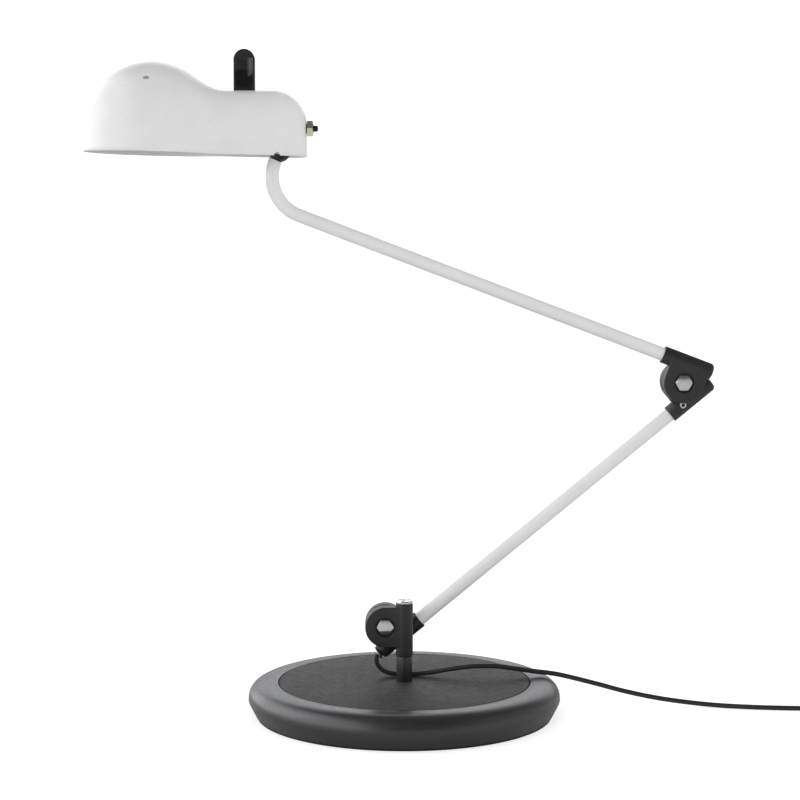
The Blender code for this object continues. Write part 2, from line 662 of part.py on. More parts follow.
def shade_rings(bm):
    stations = shade_stations()
    rim, skirt = [], []
    for station in stations:
        p = shade_point(*station, 0.0)
        rim_z = RIM_FRONT_Z - RIM_SLOPE * (p.x - DOME_C.x + DOME_R)
        rim.append(bm.verts.new((p.x, p.y, rim_z)))
        skirt.append(bm.verts.new((p.x, p.y, DOME_C.z - 0.0005)))
    rings = [rim, skirt]
    for degrees in RISE_DEGREES:
        tilt = math.radians(degrees)
        rings.append([bm.verts.new(shade_point(*station, tilt)) for station in stations])
    return rings


def make_shade():
    bm = bmesh.new()
    rings = shade_rings(bm)
    for low, high in zip(rings, rings[1:]):
        for k in range(len(low)):
            j = (k + 1) % len(low)
            bm.faces.new((low[k], low[j], high[j], high[k]))
    bmesh.ops.remove_doubles(bm, verts=bm.verts, dist=2.0 * MERGE)
    bmesh.ops.recalc_face_normals(bm, faces=bm.faces)
    shade = add_object("shade", mesh_of("shade", bm), WHITE, None, tilt_axis)
    wall = shade.modifiers.new("wall", "SOLIDIFY")
    wall.thickness = SHADE_WALL
    wall.offset = -1.0
    for name, lean, turn_x, radius in VENTS:
        slant = math.radians(lean)
        way = Vector((turn_x, -math.sin(slant), math.cos(slant))).normalized()
        turn = way.to_track_quat("Z", "Y").to_matrix().to_4x4()
        drill = rod(name, radius, DOME_R - VENT_REACH, DOME_R + VENT_REACH, WHITE,
                    Matrix.Translation(DOME_C) @ turn, tilt_axis, cutter=True)
        boolean(shade, drill, "DIFFERENCE")
    at = Matrix.Translation((HANDLE_X, 0.0, 0.0))
    drill = rod("handle_drill", 0.0020, 0.448, 0.465, WHITE, at, tilt_axis, cutter=True)
    boolean(shade, drill, "DIFFERENCE")
    at = Matrix.Translation((BACK_C.x + BACK_R, 0.0, SWITCH_Z)) @ TO_X
    drill = rod("switch_drill", SWITCH_BORE_R, -OVERRUN, OVERRUN, WHITE, at, tilt_axis, cutter=True)
    boolean(shade, drill, "DIFFERENCE")
    at = Matrix.Translation(NOTCH_AT) @ TO_Y
    drill = rod("rim_notch", NOTCH_R, -OVERRUN, OVERRUN, WHITE, at, tilt_axis, cutter=True)
    boolean(shade, drill, "DIFFERENCE")


# ---- handle: a round-topped tab, scooped on both faces ----
def make_handle():
    crown_z = BACK_C.z + BACK_R
    foot_z = crown_z + 0.0002
    half_w = 0.5 * HANDLE_W
    arch_z = HANDLE_TOP_Z - half_w
    at = Matrix.Translation((HANDLE_X, 0.0, 0.0))
    outline = [(half_w, foot_z)] + arc((0.0, arch_z), half_w, 0.0, 180.0, 14) + [(-half_w, foot_z)]
    handle = plate("handle", outline, HANDLE_T, 0.0006, GLOSS, at, tilt_axis)
    scoop_r = half_w - HANDLE_LIP
    scoop_z = foot_z + 0.0085 + 0.5 * scoop_r
    scoop = arc((0.0, arch_z), scoop_r, 0.0, 180.0, 12)
    scoop += [(x, scoop_z + 0.6 * z) for x, z in arc((0.0, 0.0), scoop_r, 180.0, 360.0, 8)]
    for name, side in (("scoop_near", -1.0), ("scoop_far", 1.0)):
        shift = side * (0.5 * HANDLE_T - SCOOP_D + 0.0030)
        where = Matrix.Translation((HANDLE_X, shift, 0.0))
        cutter = plate(name, scoop, 0.0060, 0.0, GLOSS, where, tilt_axis, cutter=True)
        boolean(handle, cutter, "DIFFERENCE")
    drill = rod("thread_drill", 0.0017, crown_z - 0.002, crown_z + 0.0062, GLOSS, at, tilt_axis,
                cutter=True)
    boolean(handle, drill, "DIFFERENCE")


# ---- lamp holder and bulb, lying along the shade ----
def make_lamp():
    bracket = box("holder_bracket", (0.0150, FORK_W, HOLDER_T),
                  (-0.1180, 0.0, HOLDER_TOP_Z - 0.5 * HOLDER_T), STEEL, tilt_axis)
    drop = box("holder_drop", (HOLDER_T, FORK_W, HOLDER_DROP),
               (-0.12475, 0.0, HOLDER_TOP_Z - 0.5 * HOLDER_DROP), STEEL, tilt_axis, cutter=True)
    boolean(bracket, drop, "UNION")
    hole = rod("holder_hole", 0.0019, 0.440, 0.452, STEEL,
               Matrix.Translation((HANDLE_X, 0.0, 0.0)), tilt_axis, cutter=True)
    boolean(bracket, hole, "DIFFERENCE")
    at = Matrix.Translation((HOLDER_X, 0.0, LAMP_Z)) @ TO_FRONT
    holder = [
        (0.0, 0.0), (0.0105, 0.0), (0.0125, 0.0015), (0.0125, 0.0100), (0.0135, 0.0105),
        (0.0135, 0.0260), (0.0078, 0.0260), (0.0078, 0.0060), (0.0, 0.0060),
    ]
    turned("lamp_holder", holder, CERAMIC, at, tilt_axis)
    bulb = [
        (0.0, 0.0066), (0.0045, 0.0070), (0.0070, 0.0090), (0.0070, 0.0256),
        (0.0085, 0.0274), (0.0110, 0.0302),
    ]
    bulb += arc((0.0, BULB_REACH), BULB_R, -48.0, 90.0, 11)
    bulb[-1] = (0.0, BULB_REACH + BULB_R)
    turned("bulb", bulb, OPAL, at, tilt_axis)


# ---- push switch in the back wall ----
def make_switch():
    wall = BACK_C.x + BACK_R
    at = Matrix.Translation((0.0, 0.0, SWITCH_Z)) @ TO_X
    body = [
        (0.0, wall - 0.0100), (0.0058, wall - 0.0100), (0.0058, wall - 0.0026),
        (0.0037, wall - 0.0026), (0.0037, wall + 0.0048), (0.0026, wall + 0.0048),
        (0.0026, wall - 0.0020), (0.0, wall - 0.0020),
    ]
    turned("switch_body", body, GLOSS, at, tilt_axis, SMALL_STEPS)
    nut = rod("switch_nut", SWITCH_NUT_R, wall + GAP, wall + SWITCH_NUT_T, BRASS, at, tilt_axis, 6)
    bore = rod("switch_nut_bore", 0.0039, wall - OVERRUN, wall + 2.0 * OVERRUN, BRASS, at,
               tilt_axis, cutter=True)
    boolean(nut, bore, "DIFFERENCE")
    button = [(0.0, wall + 0.0012), (BUTTON_R, wall + 0.0012), (BUTTON_R, wall + 0.0078)]
    button += [(BUTTON_R - 0.0005, wall + 0.0083), (0.0, wall + 0.0083)]
    turned("switch_button", button, GLOSS, at, tilt_axis, SMALL_STEPS)


# ---- cord, its coil and its plug ----
def smooth_line(knots, step):
    """Even points along a Catmull-Rom curve through the knots."""
    pts = [Vector(knot) for knot in knots]
    dense = []
    for k in range(len(pts) - 1):
        p0, p1, p2 = pts[max(k - 1, 0)], pts[k], pts[k + 1]
        p3 = pts[min(k + 2, len(pts) - 1)]
        for j in range(12):
            t = j / 12.0
            bend = (2.0 * p0 - 5.0 * p1 + 4.0 * p2 - p3) * t * t
            twist = (3.0 * p1 - p0 - 3.0 * p2 + p3) * t * t * t
            dense.append(0.5 * (2.0 * p1 + (p2 - p0) * t + bend + twist))
    dense.append(pts[-1])
    total = sum((b - a).length for a, b in zip(dense, dense[1:]))
    count = max(2, round(total / step))
    spaced = [dense[0]]
    walked = 0.0
    for a, b in zip(dense, dense[1:]):
        stretch = (b - a).length
        while len(spaced) < count and walked + stretch >= total * len(spaced) / count:
            share = (total * len(spaced) / count - walked) / stretch
            spaced.append(a.lerp(b, share))
        walked += stretch
    spaced.append(dense[-1])
    return spaced


def flex(name, knots, step):
    points = smooth_line(knots, step)
    curve = bpy.data.curves.new(name, "CURVE")
    curve.dimensions = "3D"
    curve.bevel_depth = CORD_R
    curve.bevel_resolution = 2
    curve.use_fill_caps = True
    spline = curve.splines.new("POLY")
    spline.points.add(len(points) - 1)
    for k, point in enumerate(points):
        spline.points[k].co = (*point, 1.0)
    add_object(name, curve, FLEX)


def make_cord():
    bore = CORD_R + 0.0008
    gland = [
        (bore, SLEEVE_TAIL - 0.0050), (0.0032, SLEEVE_TAIL - 0.0050),
        (0.0032, SLEEVE_TAIL + 0.0002), (GLAND_R, SLEEVE_TAIL + GAP),
        (GLAND_R, SLEEVE_TAIL + GLAND_H - GAP), (GLAND_R - GAP, SLEEVE_TAIL + GLAND_H),
        (bore, SLEEVE_TAIL + GLAND_H),
    ]
    turned("cord_gland", gland, STEEL, on_sleeve(foot_frame), lower_axis, 24, ring=True)
    inside = on_sleeve(foot_frame, SLEEVE_TAIL - 0.0045).translation
    outside = on_sleeve(foot_frame, SLEEVE_TAIL + 0.0012).translation
    flex("power_cord", [inside, outside] + CORD_ROUTE, CORD_STEP)
    coil = [
        (COIL_R + COIL_HALF_W * math.cos(turn), COIL_HALF_H * math.sin(turn))
        for turn in [2.0 * HALF_TURN * k / 14 for k in range(14)]
    ]
    turned("cord_coil", coil, FLEX, Matrix.Translation(COIL_C), steps=36, ring=True)
    tall = COIL_HALF_H + 0.0004
    wide = COIL_HALF_W + 0.0006
    band = ring_box(tall, tall + TIE_T, -0.5 * TIE_W, 0.5 * TIE_W)
    stretch = Matrix.Diagonal((1.0, wide / tall, 1.0, 1.0))
    at = Matrix.Translation(COIL_C + Vector((0.0, COIL_R, 0.0)))
    turned("cord_tie", band, MOULDED, at @ stretch @ TO_X, steps=SMALL_STEPS, ring=True)


def make_plug():
    side = [(-0.0170, 0.0055), (-0.0120, 0.0060), (0.0120, 0.0150), (0.0165, 0.0160),
            (0.0180, 0.0140)]
    outline = [(x, -y) for x, y in side] + list(reversed(side))
    lie_flat = Matrix.Rotation(QUARTER_TURN, 4, "X")
    centre = Matrix.Translation(PLUG_C)
    plate("plug_body", outline, PLUG_T, 0.0015, MOULDED, centre @ lie_flat)
    pin = [(0.0, 0.0), (0.0020, 0.0), (0.0020, 0.0180), (0.0010, 0.0190), (0.0, 0.0190)]
    for name, across in (("plug_pin_near", -0.5 * PIN_GAUGE), ("plug_pin_far", 0.5 * PIN_GAUGE)):
        turned(name, pin, BRASS, centre @ Matrix.Translation((0.0183, across, 0.0)) @ TO_X,
               steps=16)
    bore = CORD_R + 0.0005
    relief = [(bore, -0.0110), (0.0028, -0.0110), (0.0038, 0.0), (bore, 0.0)]
    turned("plug_strain_relief", relief, RUBBER,
           centre @ Matrix.Translation((-0.0173, 0.0, 0.0)) @ TO_X, steps=SMALL_STEPS, ring=True)
    leave = COIL_C + Vector((COIL_R + COIL_HALF_W + GAP, 0.0010, -0.0048))
    tail = [leave, leave + Vector((0.0028, -0.0002, 0.0002))]
    tail += [
        PLUG_C + Vector(step) for step in (
            (-0.0370, 0.0002, -0.0018), (-0.0315, 0.0, -0.0002), (-0.0290, 0.0, 0.0),
            (-0.0240, 0.0, 0.0), (-0.0178, 0.0, 0.0))
    ]
    flex("plug_cord", tail, 2.0 * CORD_R)


make_base()
make_post()
make_brackets()
make_arms()
make_head_joint()
make_fork()
make_shade()
make_handle()
make_lamp()
make_switch()
make_cord()
make_plug()
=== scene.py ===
"""Looks of the architect desk lamp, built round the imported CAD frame.

Metres throughout, +Z up, the origin under the middle of the base. The camera and
the cord are made first, then the fine pieces body by body, then the CAD nodes'
finishes, and last the floor and the light.
"""
import json
from math import acos, asin, cos, degrees, hypot, pi, radians, sin, sqrt, tan

import bmesh
import bpy
import numpy as np
from mathutils import Matrix, Vector


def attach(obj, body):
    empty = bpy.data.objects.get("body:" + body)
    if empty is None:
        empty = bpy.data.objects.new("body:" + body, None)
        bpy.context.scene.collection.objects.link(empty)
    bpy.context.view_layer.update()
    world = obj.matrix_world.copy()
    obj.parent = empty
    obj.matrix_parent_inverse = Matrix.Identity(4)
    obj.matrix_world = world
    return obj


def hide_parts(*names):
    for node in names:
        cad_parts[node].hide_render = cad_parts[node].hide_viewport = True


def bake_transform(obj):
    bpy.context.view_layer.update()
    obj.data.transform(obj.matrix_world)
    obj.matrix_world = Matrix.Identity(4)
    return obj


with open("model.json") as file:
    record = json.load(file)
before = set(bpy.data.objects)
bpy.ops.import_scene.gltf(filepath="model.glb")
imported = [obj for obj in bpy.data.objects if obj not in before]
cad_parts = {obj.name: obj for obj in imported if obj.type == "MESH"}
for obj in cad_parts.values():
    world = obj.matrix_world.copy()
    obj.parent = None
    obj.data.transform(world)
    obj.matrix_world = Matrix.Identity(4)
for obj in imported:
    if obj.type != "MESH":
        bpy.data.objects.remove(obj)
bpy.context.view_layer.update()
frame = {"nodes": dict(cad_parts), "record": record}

SCENE = bpy.context.scene

# ---- places and sizes, as in the CAD ----
# base and post
BASE_R, BASE_H, BASE_FOOT_R = 0.1153, 0.0250, 0.1100
BASE_EDGE_W, BASE_EDGE_H, BASE_EDGE_POWER = 0.0165, 0.0125, 0.75
SKIRT_LOW_Z, SKIRT_IN, SEAM_R, SEAM_GAP = 0.0105, 0.0005, 0.0926, 0.0008
PAD_T, PAD_IN = 0.0015, 0.0010
POST_R, SPIGOT_R, SLEEVE_BOTTOM_Z, CAP_R, CAP_H = 0.00585, 0.0040, 0.0439, 0.0063, 0.0020
# arm joints
PIVOT_OFFSET, BOSS_R, PLATE_T, LAYER_Y = 0.0141, 0.0149, 0.0114, 0.0131
LOWER_PIVOT = Vector((-PIVOT_OFFSET, 0.0, 0.0656))
ELBOW_PIVOT = Vector((0.2048, 0.0, 0.2463))
SLEEVE_R, SLEEVE_MOUTH, SLEEVE_TAIL, TAIL_ROUND = 0.0064, 0.0217, 0.0171, 0.0030
RECESS_R, RECESS_D, BOLT_R, HEX_R, HEX_H = 0.0073, 0.0034, 0.0030, 0.00628, 0.0026
WASHER_R, SET_SCREW_R, SET_SCREW_AT, SET_SCREW_H = 0.0113, 0.0024, 0.0100, 0.0013
# tubes and ball
TUBE_R, TUBE_WALL, TUBE_INSET, TUBE_END = 0.0050, 0.0010, 0.0180, 0.0073
UPPER_SLOPE = radians(20.84)
BEND_R, BEND_END, BEND_REACH = 0.0300, radians(66.0), 0.0056
BALL_C, BALL_R, STUD_R, STUD_L = Vector((-0.0904, 0.0, 0.4151)), 0.0082, 0.0034, 0.0052
# shade and handle
DOME_C, DOME_R = Vector((-0.1823, 0.0, 0.4290)), 0.0500
BACK_C, BACK_R = Vector((-0.0957, 0.0, 0.4336)), 0.0250
SHADE_FILLET, SHADE_WALL, RIM_FRONT_Z, RIM_SLOPE = 0.0100, 0.0012, 0.4143, 0.0237
VENTS = ((23.0, 0.018, 0.0014), (42.5, -0.012, 0.0022))  # lean in degrees, turn, radius
NOTCH_AT, NOTCH_R = Vector((-0.0912, -0.0245, 0.4112)), 0.0021
HANDLE_X, HANDLE_W, HANDLE_T, HANDLE_TOP_Z, HANDLE_LIP = -0.1156, 0.0153, 0.0100, 0.4879, 0.0013
SCOOP_D, SCOOP_FOOT = 0.0014, 0.0085
# inside the shade
SOCKET_R, SOCKET_LOW, SOCKET_HIGH = 0.0104, -0.0022, 0.0058
FORK_Y, FORK_T, FORK_W, FORK_TOP_Z, FORK_LEG_LOW_Z = 0.0125, 0.0015, 0.0120, 0.44875, 0.4125
STRAP_FRONT_X, STRAP_BACK_X, STRAP_HOLE_R = -0.1224, -0.0864, 0.0018
SCREW_R, SCREW_HEAD_R, SCREW_LOW_Z, SCREW_HEAD_H, SCREW_TOP_Z = 0.00155, 0.0034, 0.4424, 0.0020, 0.4640
SPACER_R, SPACER_TOP_Z = 0.0048, 0.4568
HOLDER_X, LAMP_Z, BULB_R, BULB_REACH = -0.1258, 0.4385, 0.0215, 0.0510
HOLDER_T, HOLDER_TOP_Z, HOLDER_LOW_Z = 0.0015, 0.4467, 0.4302
HOLDER_BACK_X, HOLDER_FRONT_X, HOLDER_R = -0.1105, -0.12475, 0.0135
# switch, gland and cord
SWITCH_Z, SWITCH_BORE_R, SWITCH_NUT_R, BUTTON_R = 0.4311, 0.0040, 0.0063, 0.0022
GLAND_R, GLAND_H = 0.0052, 0.0020
CORD_R = 0.0018
# clearance between neighbours, angles and turns
GAP = 0.0003
QUARTER, HALF, FULL = 0.5 * pi, pi, 2.0 * pi
TO_Y = Matrix.Rotation(-QUARTER, 4, "X")
TO_X = Matrix.Rotation(QUARTER, 4, "Y")
TO_FRONT = Matrix.Rotation(-QUARTER, 4, "Y")
TURN_OVER = Matrix.Rotation(HALF, 4, "X")
HANDLE_AT = Matrix.Translation((HANDLE_X, 0.0, 0.0))


# ---- camera ----
def make_camera():
    data = bpy.data.cameras.new("camera")
    data.lens = 90.0
    data.sensor_width = 36.0
    camera = bpy.data.objects.new("camera", data)
    camera.location = (-0.02512, -1.461, 0.358)
    camera.rotation_euler = (radians(90.0 - 4.86), 0.0, radians(-0.86))
    SCENE.collection.objects.link(camera)
    SCENE.camera = camera


# ---- node materials ----
def add_node(tree, kind, *ordered, **named):
    """A node whose inputs are linked to sockets or set to plain values."""
    node = tree.nodes.new(kind)
    inputs = list(zip(node.inputs, ordered))
    inputs += [(node.inputs[name.replace("_", " ")], value) for name, value in named.items()]
    for socket, value in inputs:
        if isinstance(value, bpy.types.NodeSocket):
            tree.links.new(value, socket)
        else:
            socket.default_value = value
    return node


class Finish:
    """One Principled material and short ways to add texture to it."""

    def __init__(self, name, metallic=0.0, **sockets):
        self.mat = bpy.data.materials.new(name)
        self.mat.use_nodes = True
        self.tree = self.mat.node_tree
        self.shader = self.tree.nodes["Principled BSDF"]
        self.shader.inputs["Metallic"].default_value = metallic
        for socket, value in sockets.items():
            self.shader.inputs[socket.replace("_", " ")].default_value = value
        self.place = add_node(self.tree, "ShaderNodeTexCoord").outputs["Object"]
        self.normal = None

    def feed(self, value, socket):
        self.tree.links.new(value, self.shader.inputs[socket])

    def stretched(self, scale):
        """Object coordinates stretched along an axis, for drawn or turned grain."""
        return add_node(self.tree, "ShaderNodeMapping", Vector=self.place, Scale=scale).outputs["Vector"]

    def noise(self, scale, detail=3.0, coords=None, distortion=0.0):
        node = add_node(self.tree, "ShaderNodeTexNoise", Vector=coords or self.place,
                        Scale=scale, Detail=detail, Distortion=distortion)
        return node.outputs["Fac"]

    def cells(self, scale):
        node = add_node(self.tree, "ShaderNodeTexVoronoi", Vector=self.place, Scale=scale)
        return node.outputs["Distance"]

    def spread(self, value, low, high, start=0.3, end=0.7):
        node = add_node(self.tree, "ShaderNodeMapRange", Value=value,
                        From_Min=start, From_Max=end, To_Min=low, To_Max=high)
        return node.outputs["Result"]

    def shades(self, value, *stops):
        """Colour by a value: stops are (position, colour)."""
        node = add_node(self.tree, "ShaderNodeValToRGB", Fac=value)
        ramp = node.color_ramp.elements
        while len(ramp) < len(stops):
            ramp.new(0.5)
        for element, (position, color) in zip(ramp, stops):
            element.position = position
            element.color = (*color, 1.0)
        self.feed(node.outputs["Color"], "Base Color")

    def rough(self, value, low, high):
        self.feed(self.spread(value, low, high), "Roughness")

    def bump(self, height, strength, distance):
        """Relief by a value, laid over any earlier bump."""
        node = add_node(self.tree, "ShaderNodeBump", Strength=strength, Distance=distance, Height=height)
        if self.normal:
            self.tree.links.new(self.normal, node.inputs["Normal"])
        self.normal = node.outputs["Normal"]
        self.feed(self.normal, "Normal")


def enamel():
    """Stoved white lacquer: faint orange peel, hardly any change of tone."""
    f = Finish("white_enamel_fine", Coat_Weight=0.12, Coat_Roughness=0.12)
    f.shades(f.noise(38.0, 5.0), (0.30, (0.840, 0.840, 0.848)), (0.70, (0.882, 0.882, 0.888)))
    f.rough(f.noise(160.0, 4.0), 0.27, 0.36)
    f.bump(f.noise(420.0, 2.0), 0.10, 0.0002)
    return f.mat


def satin_paint():
    """Charcoal powder coat on the rounded ring."""
    f = Finish("charcoal_satin_fine", Specular_IOR_Level=0.72)
    f.shades(f.noise(900.0, 4.0), (0.32, (0.016, 0.016, 0.017)), (0.68, (0.024, 0.024, 0.025)))
    f.rough(f.noise(240.0, 5.0), 0.29, 0.38)
    f.bump(f.cells(1900.0), 0.08, 0.0001)
    f.bump(f.noise(800.0, 2.0), 0.10, 0.0001)
    return f.mat


def grained_paint():
    """Matt textured top disc, with the fine grain of a crackle coat."""
    f = Finish("charcoal_grain_fine")
    grain = f.noise(2200.0, 3.0)
    f.shades(
        grain,
        (0.25, (0.027, 0.027, 0.028)), (0.55, (0.034, 0.034, 0.034)), (0.85, (0.044, 0.044, 0.044)))
    f.rough(f.noise(300.0, 3.0), 0.55, 0.72)
    f.bump(f.cells(1300.0), 0.30, 0.00018)
    f.bump(grain, 0.35, 0.00015)
    return f.mat


def moulded():
    """Glass-filled nylon: an even spark-eroded grain."""
    f = Finish("black_moulded_fine")
    f.shades(f.noise(1100.0, 5.0), (0.30, (0.013, 0.013, 0.014)), (0.72, (0.026, 0.026, 0.027)))
    f.rough(f.noise(420.0, 4.0), 0.36, 0.52)
    f.bump(f.noise(3200.0, 3.0), 0.25, 0.00008)
    f.bump(f.noise(90.0, 2.0), 0.05, 0.0004)
    return f.mat


def black_gloss():
    """Gloss lacquer with faint rub marks along the post."""
    f = Finish("black_gloss_fine", Specular_IOR_Level=0.6)
    rubs = f.noise(500.0, 4.0, f.stretched((1.0, 1.0, 0.4)))
    f.shades(rubs, (0.30, (0.010, 0.010, 0.012)), (0.75, (0.014, 0.014, 0.016)))
    f.rough(rubs, 0.24, 0.29)
    f.bump(f.noise(300.0, 2.0), 0.04, 0.0002)
    return f.mat


def gloss_plastic():
    """Polished moulding: smooth, with hairline scuffs."""
    f = Finish("gloss_plastic_fine", Specular_IOR_Level=0.42)
    scuffs = f.noise(1300.0, 6.0, f.stretched((1.0, 0.12, 0.25)), 0.6)
    f.shades(scuffs, (0.40, (0.006, 0.006, 0.007)), (0.75, (0.012, 0.012, 0.013)))
    f.rough(scuffs, 0.07, 0.17)
    f.bump(f.noise(220.0, 2.0), 0.05, 0.0003)
    return f.mat


def plated(name, light, dark, smooth, dull, grain):
    """A metal with polishing marks in two directions and soft blotches."""
    f = Finish(name, metallic=1.0)
    f.shades(f.noise(260.0, 5.0), (0.28, dark), (0.66, light))
    marks = f.noise(grain, 5.0, f.stretched((1.0, 0.3, 0.08)))
    f.rough(marks, smooth, dull)
    f.bump(marks, 0.06, 0.00006)
    return f.mat


def chromate():
    """Yellow chromate over zinc: straw, green and grey patches run together."""
    f = Finish("chromate_fine", metallic=1.0)
    f.shades(
        f.noise(190.0, 3.0, distortion=0.8),
        (0.30, (0.62, 0.66, 0.60)), (0.45, (0.80, 0.80, 0.72)),
        (0.58, (0.86, 0.78, 0.52)), (0.72, (0.76, 0.74, 0.68)))
    f.rough(f.noise(900.0, 4.0), 0.20, 0.36)
    f.bump(f.noise(1600.0, 3.0), 0.06, 0.00006)
    return f.mat


def ceramic():
    """Glazed steatite, slightly uneven."""
    f = Finish("ceramic_fine")
    f.shades(f.noise(500.0, 6.0), (0.30, (0.74, 0.72, 0.66)), (0.60, (0.83, 0.81, 0.77)))
    f.rough(f.noise(240.0, 4.0), 0.28, 0.48)
    f.bump(f.noise(600.0, 4.0), 0.12, 0.00015)
    return f.mat


def opal():
    """White flashed glass with a clear skin."""
    f = Finish("opal_glass_fine", Coat_Weight=0.4, Coat_Roughness=0.04)
    f.shades(f.noise(45.0, 4.0), (0.30, (0.85, 0.84, 0.80)), (0.70, (0.91, 0.90, 0.88)))
    f.rough(f.noise(180.0, 3.0), 0.12, 0.22)
    f.bump(f.noise(120.0, 2.0), 0.03, 0.0002)
    return f.mat


def soft_black(name, dark, light, low, high, grain, fibre):
    """Rubber or PVC: dull skin with extrusion lines or mould grain."""
    f = Finish(name)
    f.shades(f.noise(grain, 4.0), (0.30, dark), (0.70, light))
    f.rough(f.noise(0.4 * grain, 4.0), low, high)
    f.bump(f.noise(grain, 3.0, f.stretched(fibre)), 0.15, 0.0001)
    return f.mat


def cast():
    """Raw casting of the hidden weight."""
    f = Finish("cast_iron_fine", metallic=0.5)
    f.shades(f.noise(700.0, 6.0), (0.30, (0.10, 0.095, 0.09)), (0.70, (0.22, 0.21, 0.20)))
    f.rough(f.noise(300.0, 5.0), 0.6, 0.85)
    f.bump(f.cells(700.0), 0.5, 0.0003)
    return f.mat


FINISH = {
    "white_enamel": enamel(),
    "charcoal_paint": satin_paint(),
    "cast_iron": cast(),
    "black_moulded": moulded(),
    "black_gloss": black_gloss(),
    "gloss_plastic": gloss_plastic(),
    "chrome": plated("chrome_fine", (0.71, 0.68, 0.655), (0.62, 0.595, 0.57), 0.07, 0.17, 1800.0),
    "steel": plated("steel_fine", (0.58, 0.58, 0.58), (0.46, 0.46, 0.47), 0.26, 0.42, 2400.0),
    "brass": chromate(),
    "ceramic": ceramic(),
    "opal_glass": opal(),
    "rubber": soft_black("rubber_fine", (0.020, 0.020, 0.021), (0.034, 0.034, 0.035),
                         0.55, 0.75, 1400.0, (1.0, 1.0, 1.0)),
    "flex": soft_black("flex_fine", (0.016, 0.016, 0.017), (0.026, 0.026, 0.027),
                       0.34, 0.48, 900.0, (0.15, 1.0, 1.0)),
}
GRAINED = grained_paint()


# ---- mesh tools ----
SLOT_OF = {row["node"]: row["material_slot"] for row in frame["record"]["subparts"]}
BODY_OF = {node: body for body, nodes in frame["record"]["behaviour"]["bodies"].items() for node in nodes}


def smooth_object(name, bm, mat, sharp=38.0):
    """Hand the mesh to a new object, smooth but for edges sharper than an angle."""
    bmesh.ops.recalc_face_normals(bm, faces=bm.faces)
    mesh = bpy.data.meshes.new(name)
    bm.to_mesh(mesh)
    bm.free()
    mesh.shade_smooth()
    mesh.set_sharp_from_angle(angle=radians(sharp))
    obj = bpy.data.objects.new(name, mesh)
    obj.data.materials.append(mat)
    SCENE.collection.objects.link(obj)
    return obj


def piece(name, bm, node, matrix=None, mat=None, sharp=38.0):
    """A piece that takes the place, the body and the material slot of a CAD node."""
    if matrix is not None:
        bmesh.ops.transform(bm, matrix=matrix, verts=bm.verts)
    obj = smooth_object(name, bm, mat or FINISH[SLOT_OF[node]], sharp)
    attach(obj, BODY_OF[node])
    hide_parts(node)
    return obj


def soften(outline, radius, steps=3, closed=False):
    """Round every corner of a (radius, height) outline by up to `radius`."""
    count = len(outline)
    points = [Vector(p) for p in outline]
    result = []
    for k, corner in enumerate(points):
        if not closed and k in (0, count - 1):
            result.append(tuple(corner))
            continue
        before = points[k - 1] - corner
        after = points[(k + 1) % count] - corner
        if before.angle(after) > radians(158.0):
            result.append(tuple(corner))
            continue
        a = corner + before.normalized() * min(radius, 0.45 * before.length)
        b = corner + after.normalized() * min(radius, 0.45 * after.length)
        for j in range(steps + 1):
            t = j / steps
            result.append(tuple((1 - t) ** 2 * a + 2 * t * (1 - t) * corner + t * t * b))
    return result


def arc(centre, radius, start, end, steps):
    """Points round a centre, from one angle in degrees to another."""
    angles = [radians(start + (end - start) * k / steps) for k in range(steps + 1)]
    return [(centre[0] + radius * cos(a), centre[1] + radius * sin(a)) for a in angles]


def ring_box(inner, outer, low, high):
    """Closed outline of a plain ring, for a lathe."""
    return [(inner, low), (outer, low), (outer, high), (inner, high)]


def bridge(bm, rings, closed=False, caps=False):
    """Faces between rings of equal length; a ring of one vertex is a pole."""
    for low, high in list(zip(rings, rings[1:])) + ([(rings[-1], rings[0])] if closed else []):
        count = max(len(low), len(high))
        for k in range(count):
            j = (k + 1) % count
            corners = [low[k % len(low)], low[j % len(low)], high[j % len(high)], high[k % len(high)]]
            bm.faces.new(dict.fromkeys(corners))
    if caps:
        bm.faces.new(rings[0])
        bm.faces.new(rings[-1])


def placed(bm, matrix):
    """The mesh with its faces turned outwards, moved by an optional matrix."""
    bmesh.ops.recalc_face_normals(bm, faces=bm.faces)
    if matrix is not None:
        bmesh.ops.transform(bm, matrix=matrix, verts=bm.verts)
    return bm


def lathe(outline, steps=64, closed=False, matrix=None):
    """Turn a (radius, height) outline round Z; a radius of nought makes a pole."""
    bm = bmesh.new()
    angles = [FULL * k / steps for k in range(steps)]
    rings = []
    for radius, height in outline:
        if radius < 1e-6:
            rings.append([bm.verts.new((0.0, 0.0, height))])
        else:
            around = [(radius * cos(a), radius * sin(a), height) for a in angles]
            rings.append([bm.verts.new(point) for point in around])
    bridge(bm, rings, closed)
    return placed(bm, matrix)


def drill(radius, low, high, matrix, sides=40):
    """A plain round cutter along the matrix's Z."""
    return lathe([(0.0, low), (radius, low), (radius, high), (0.0, high)], sides, matrix=matrix)


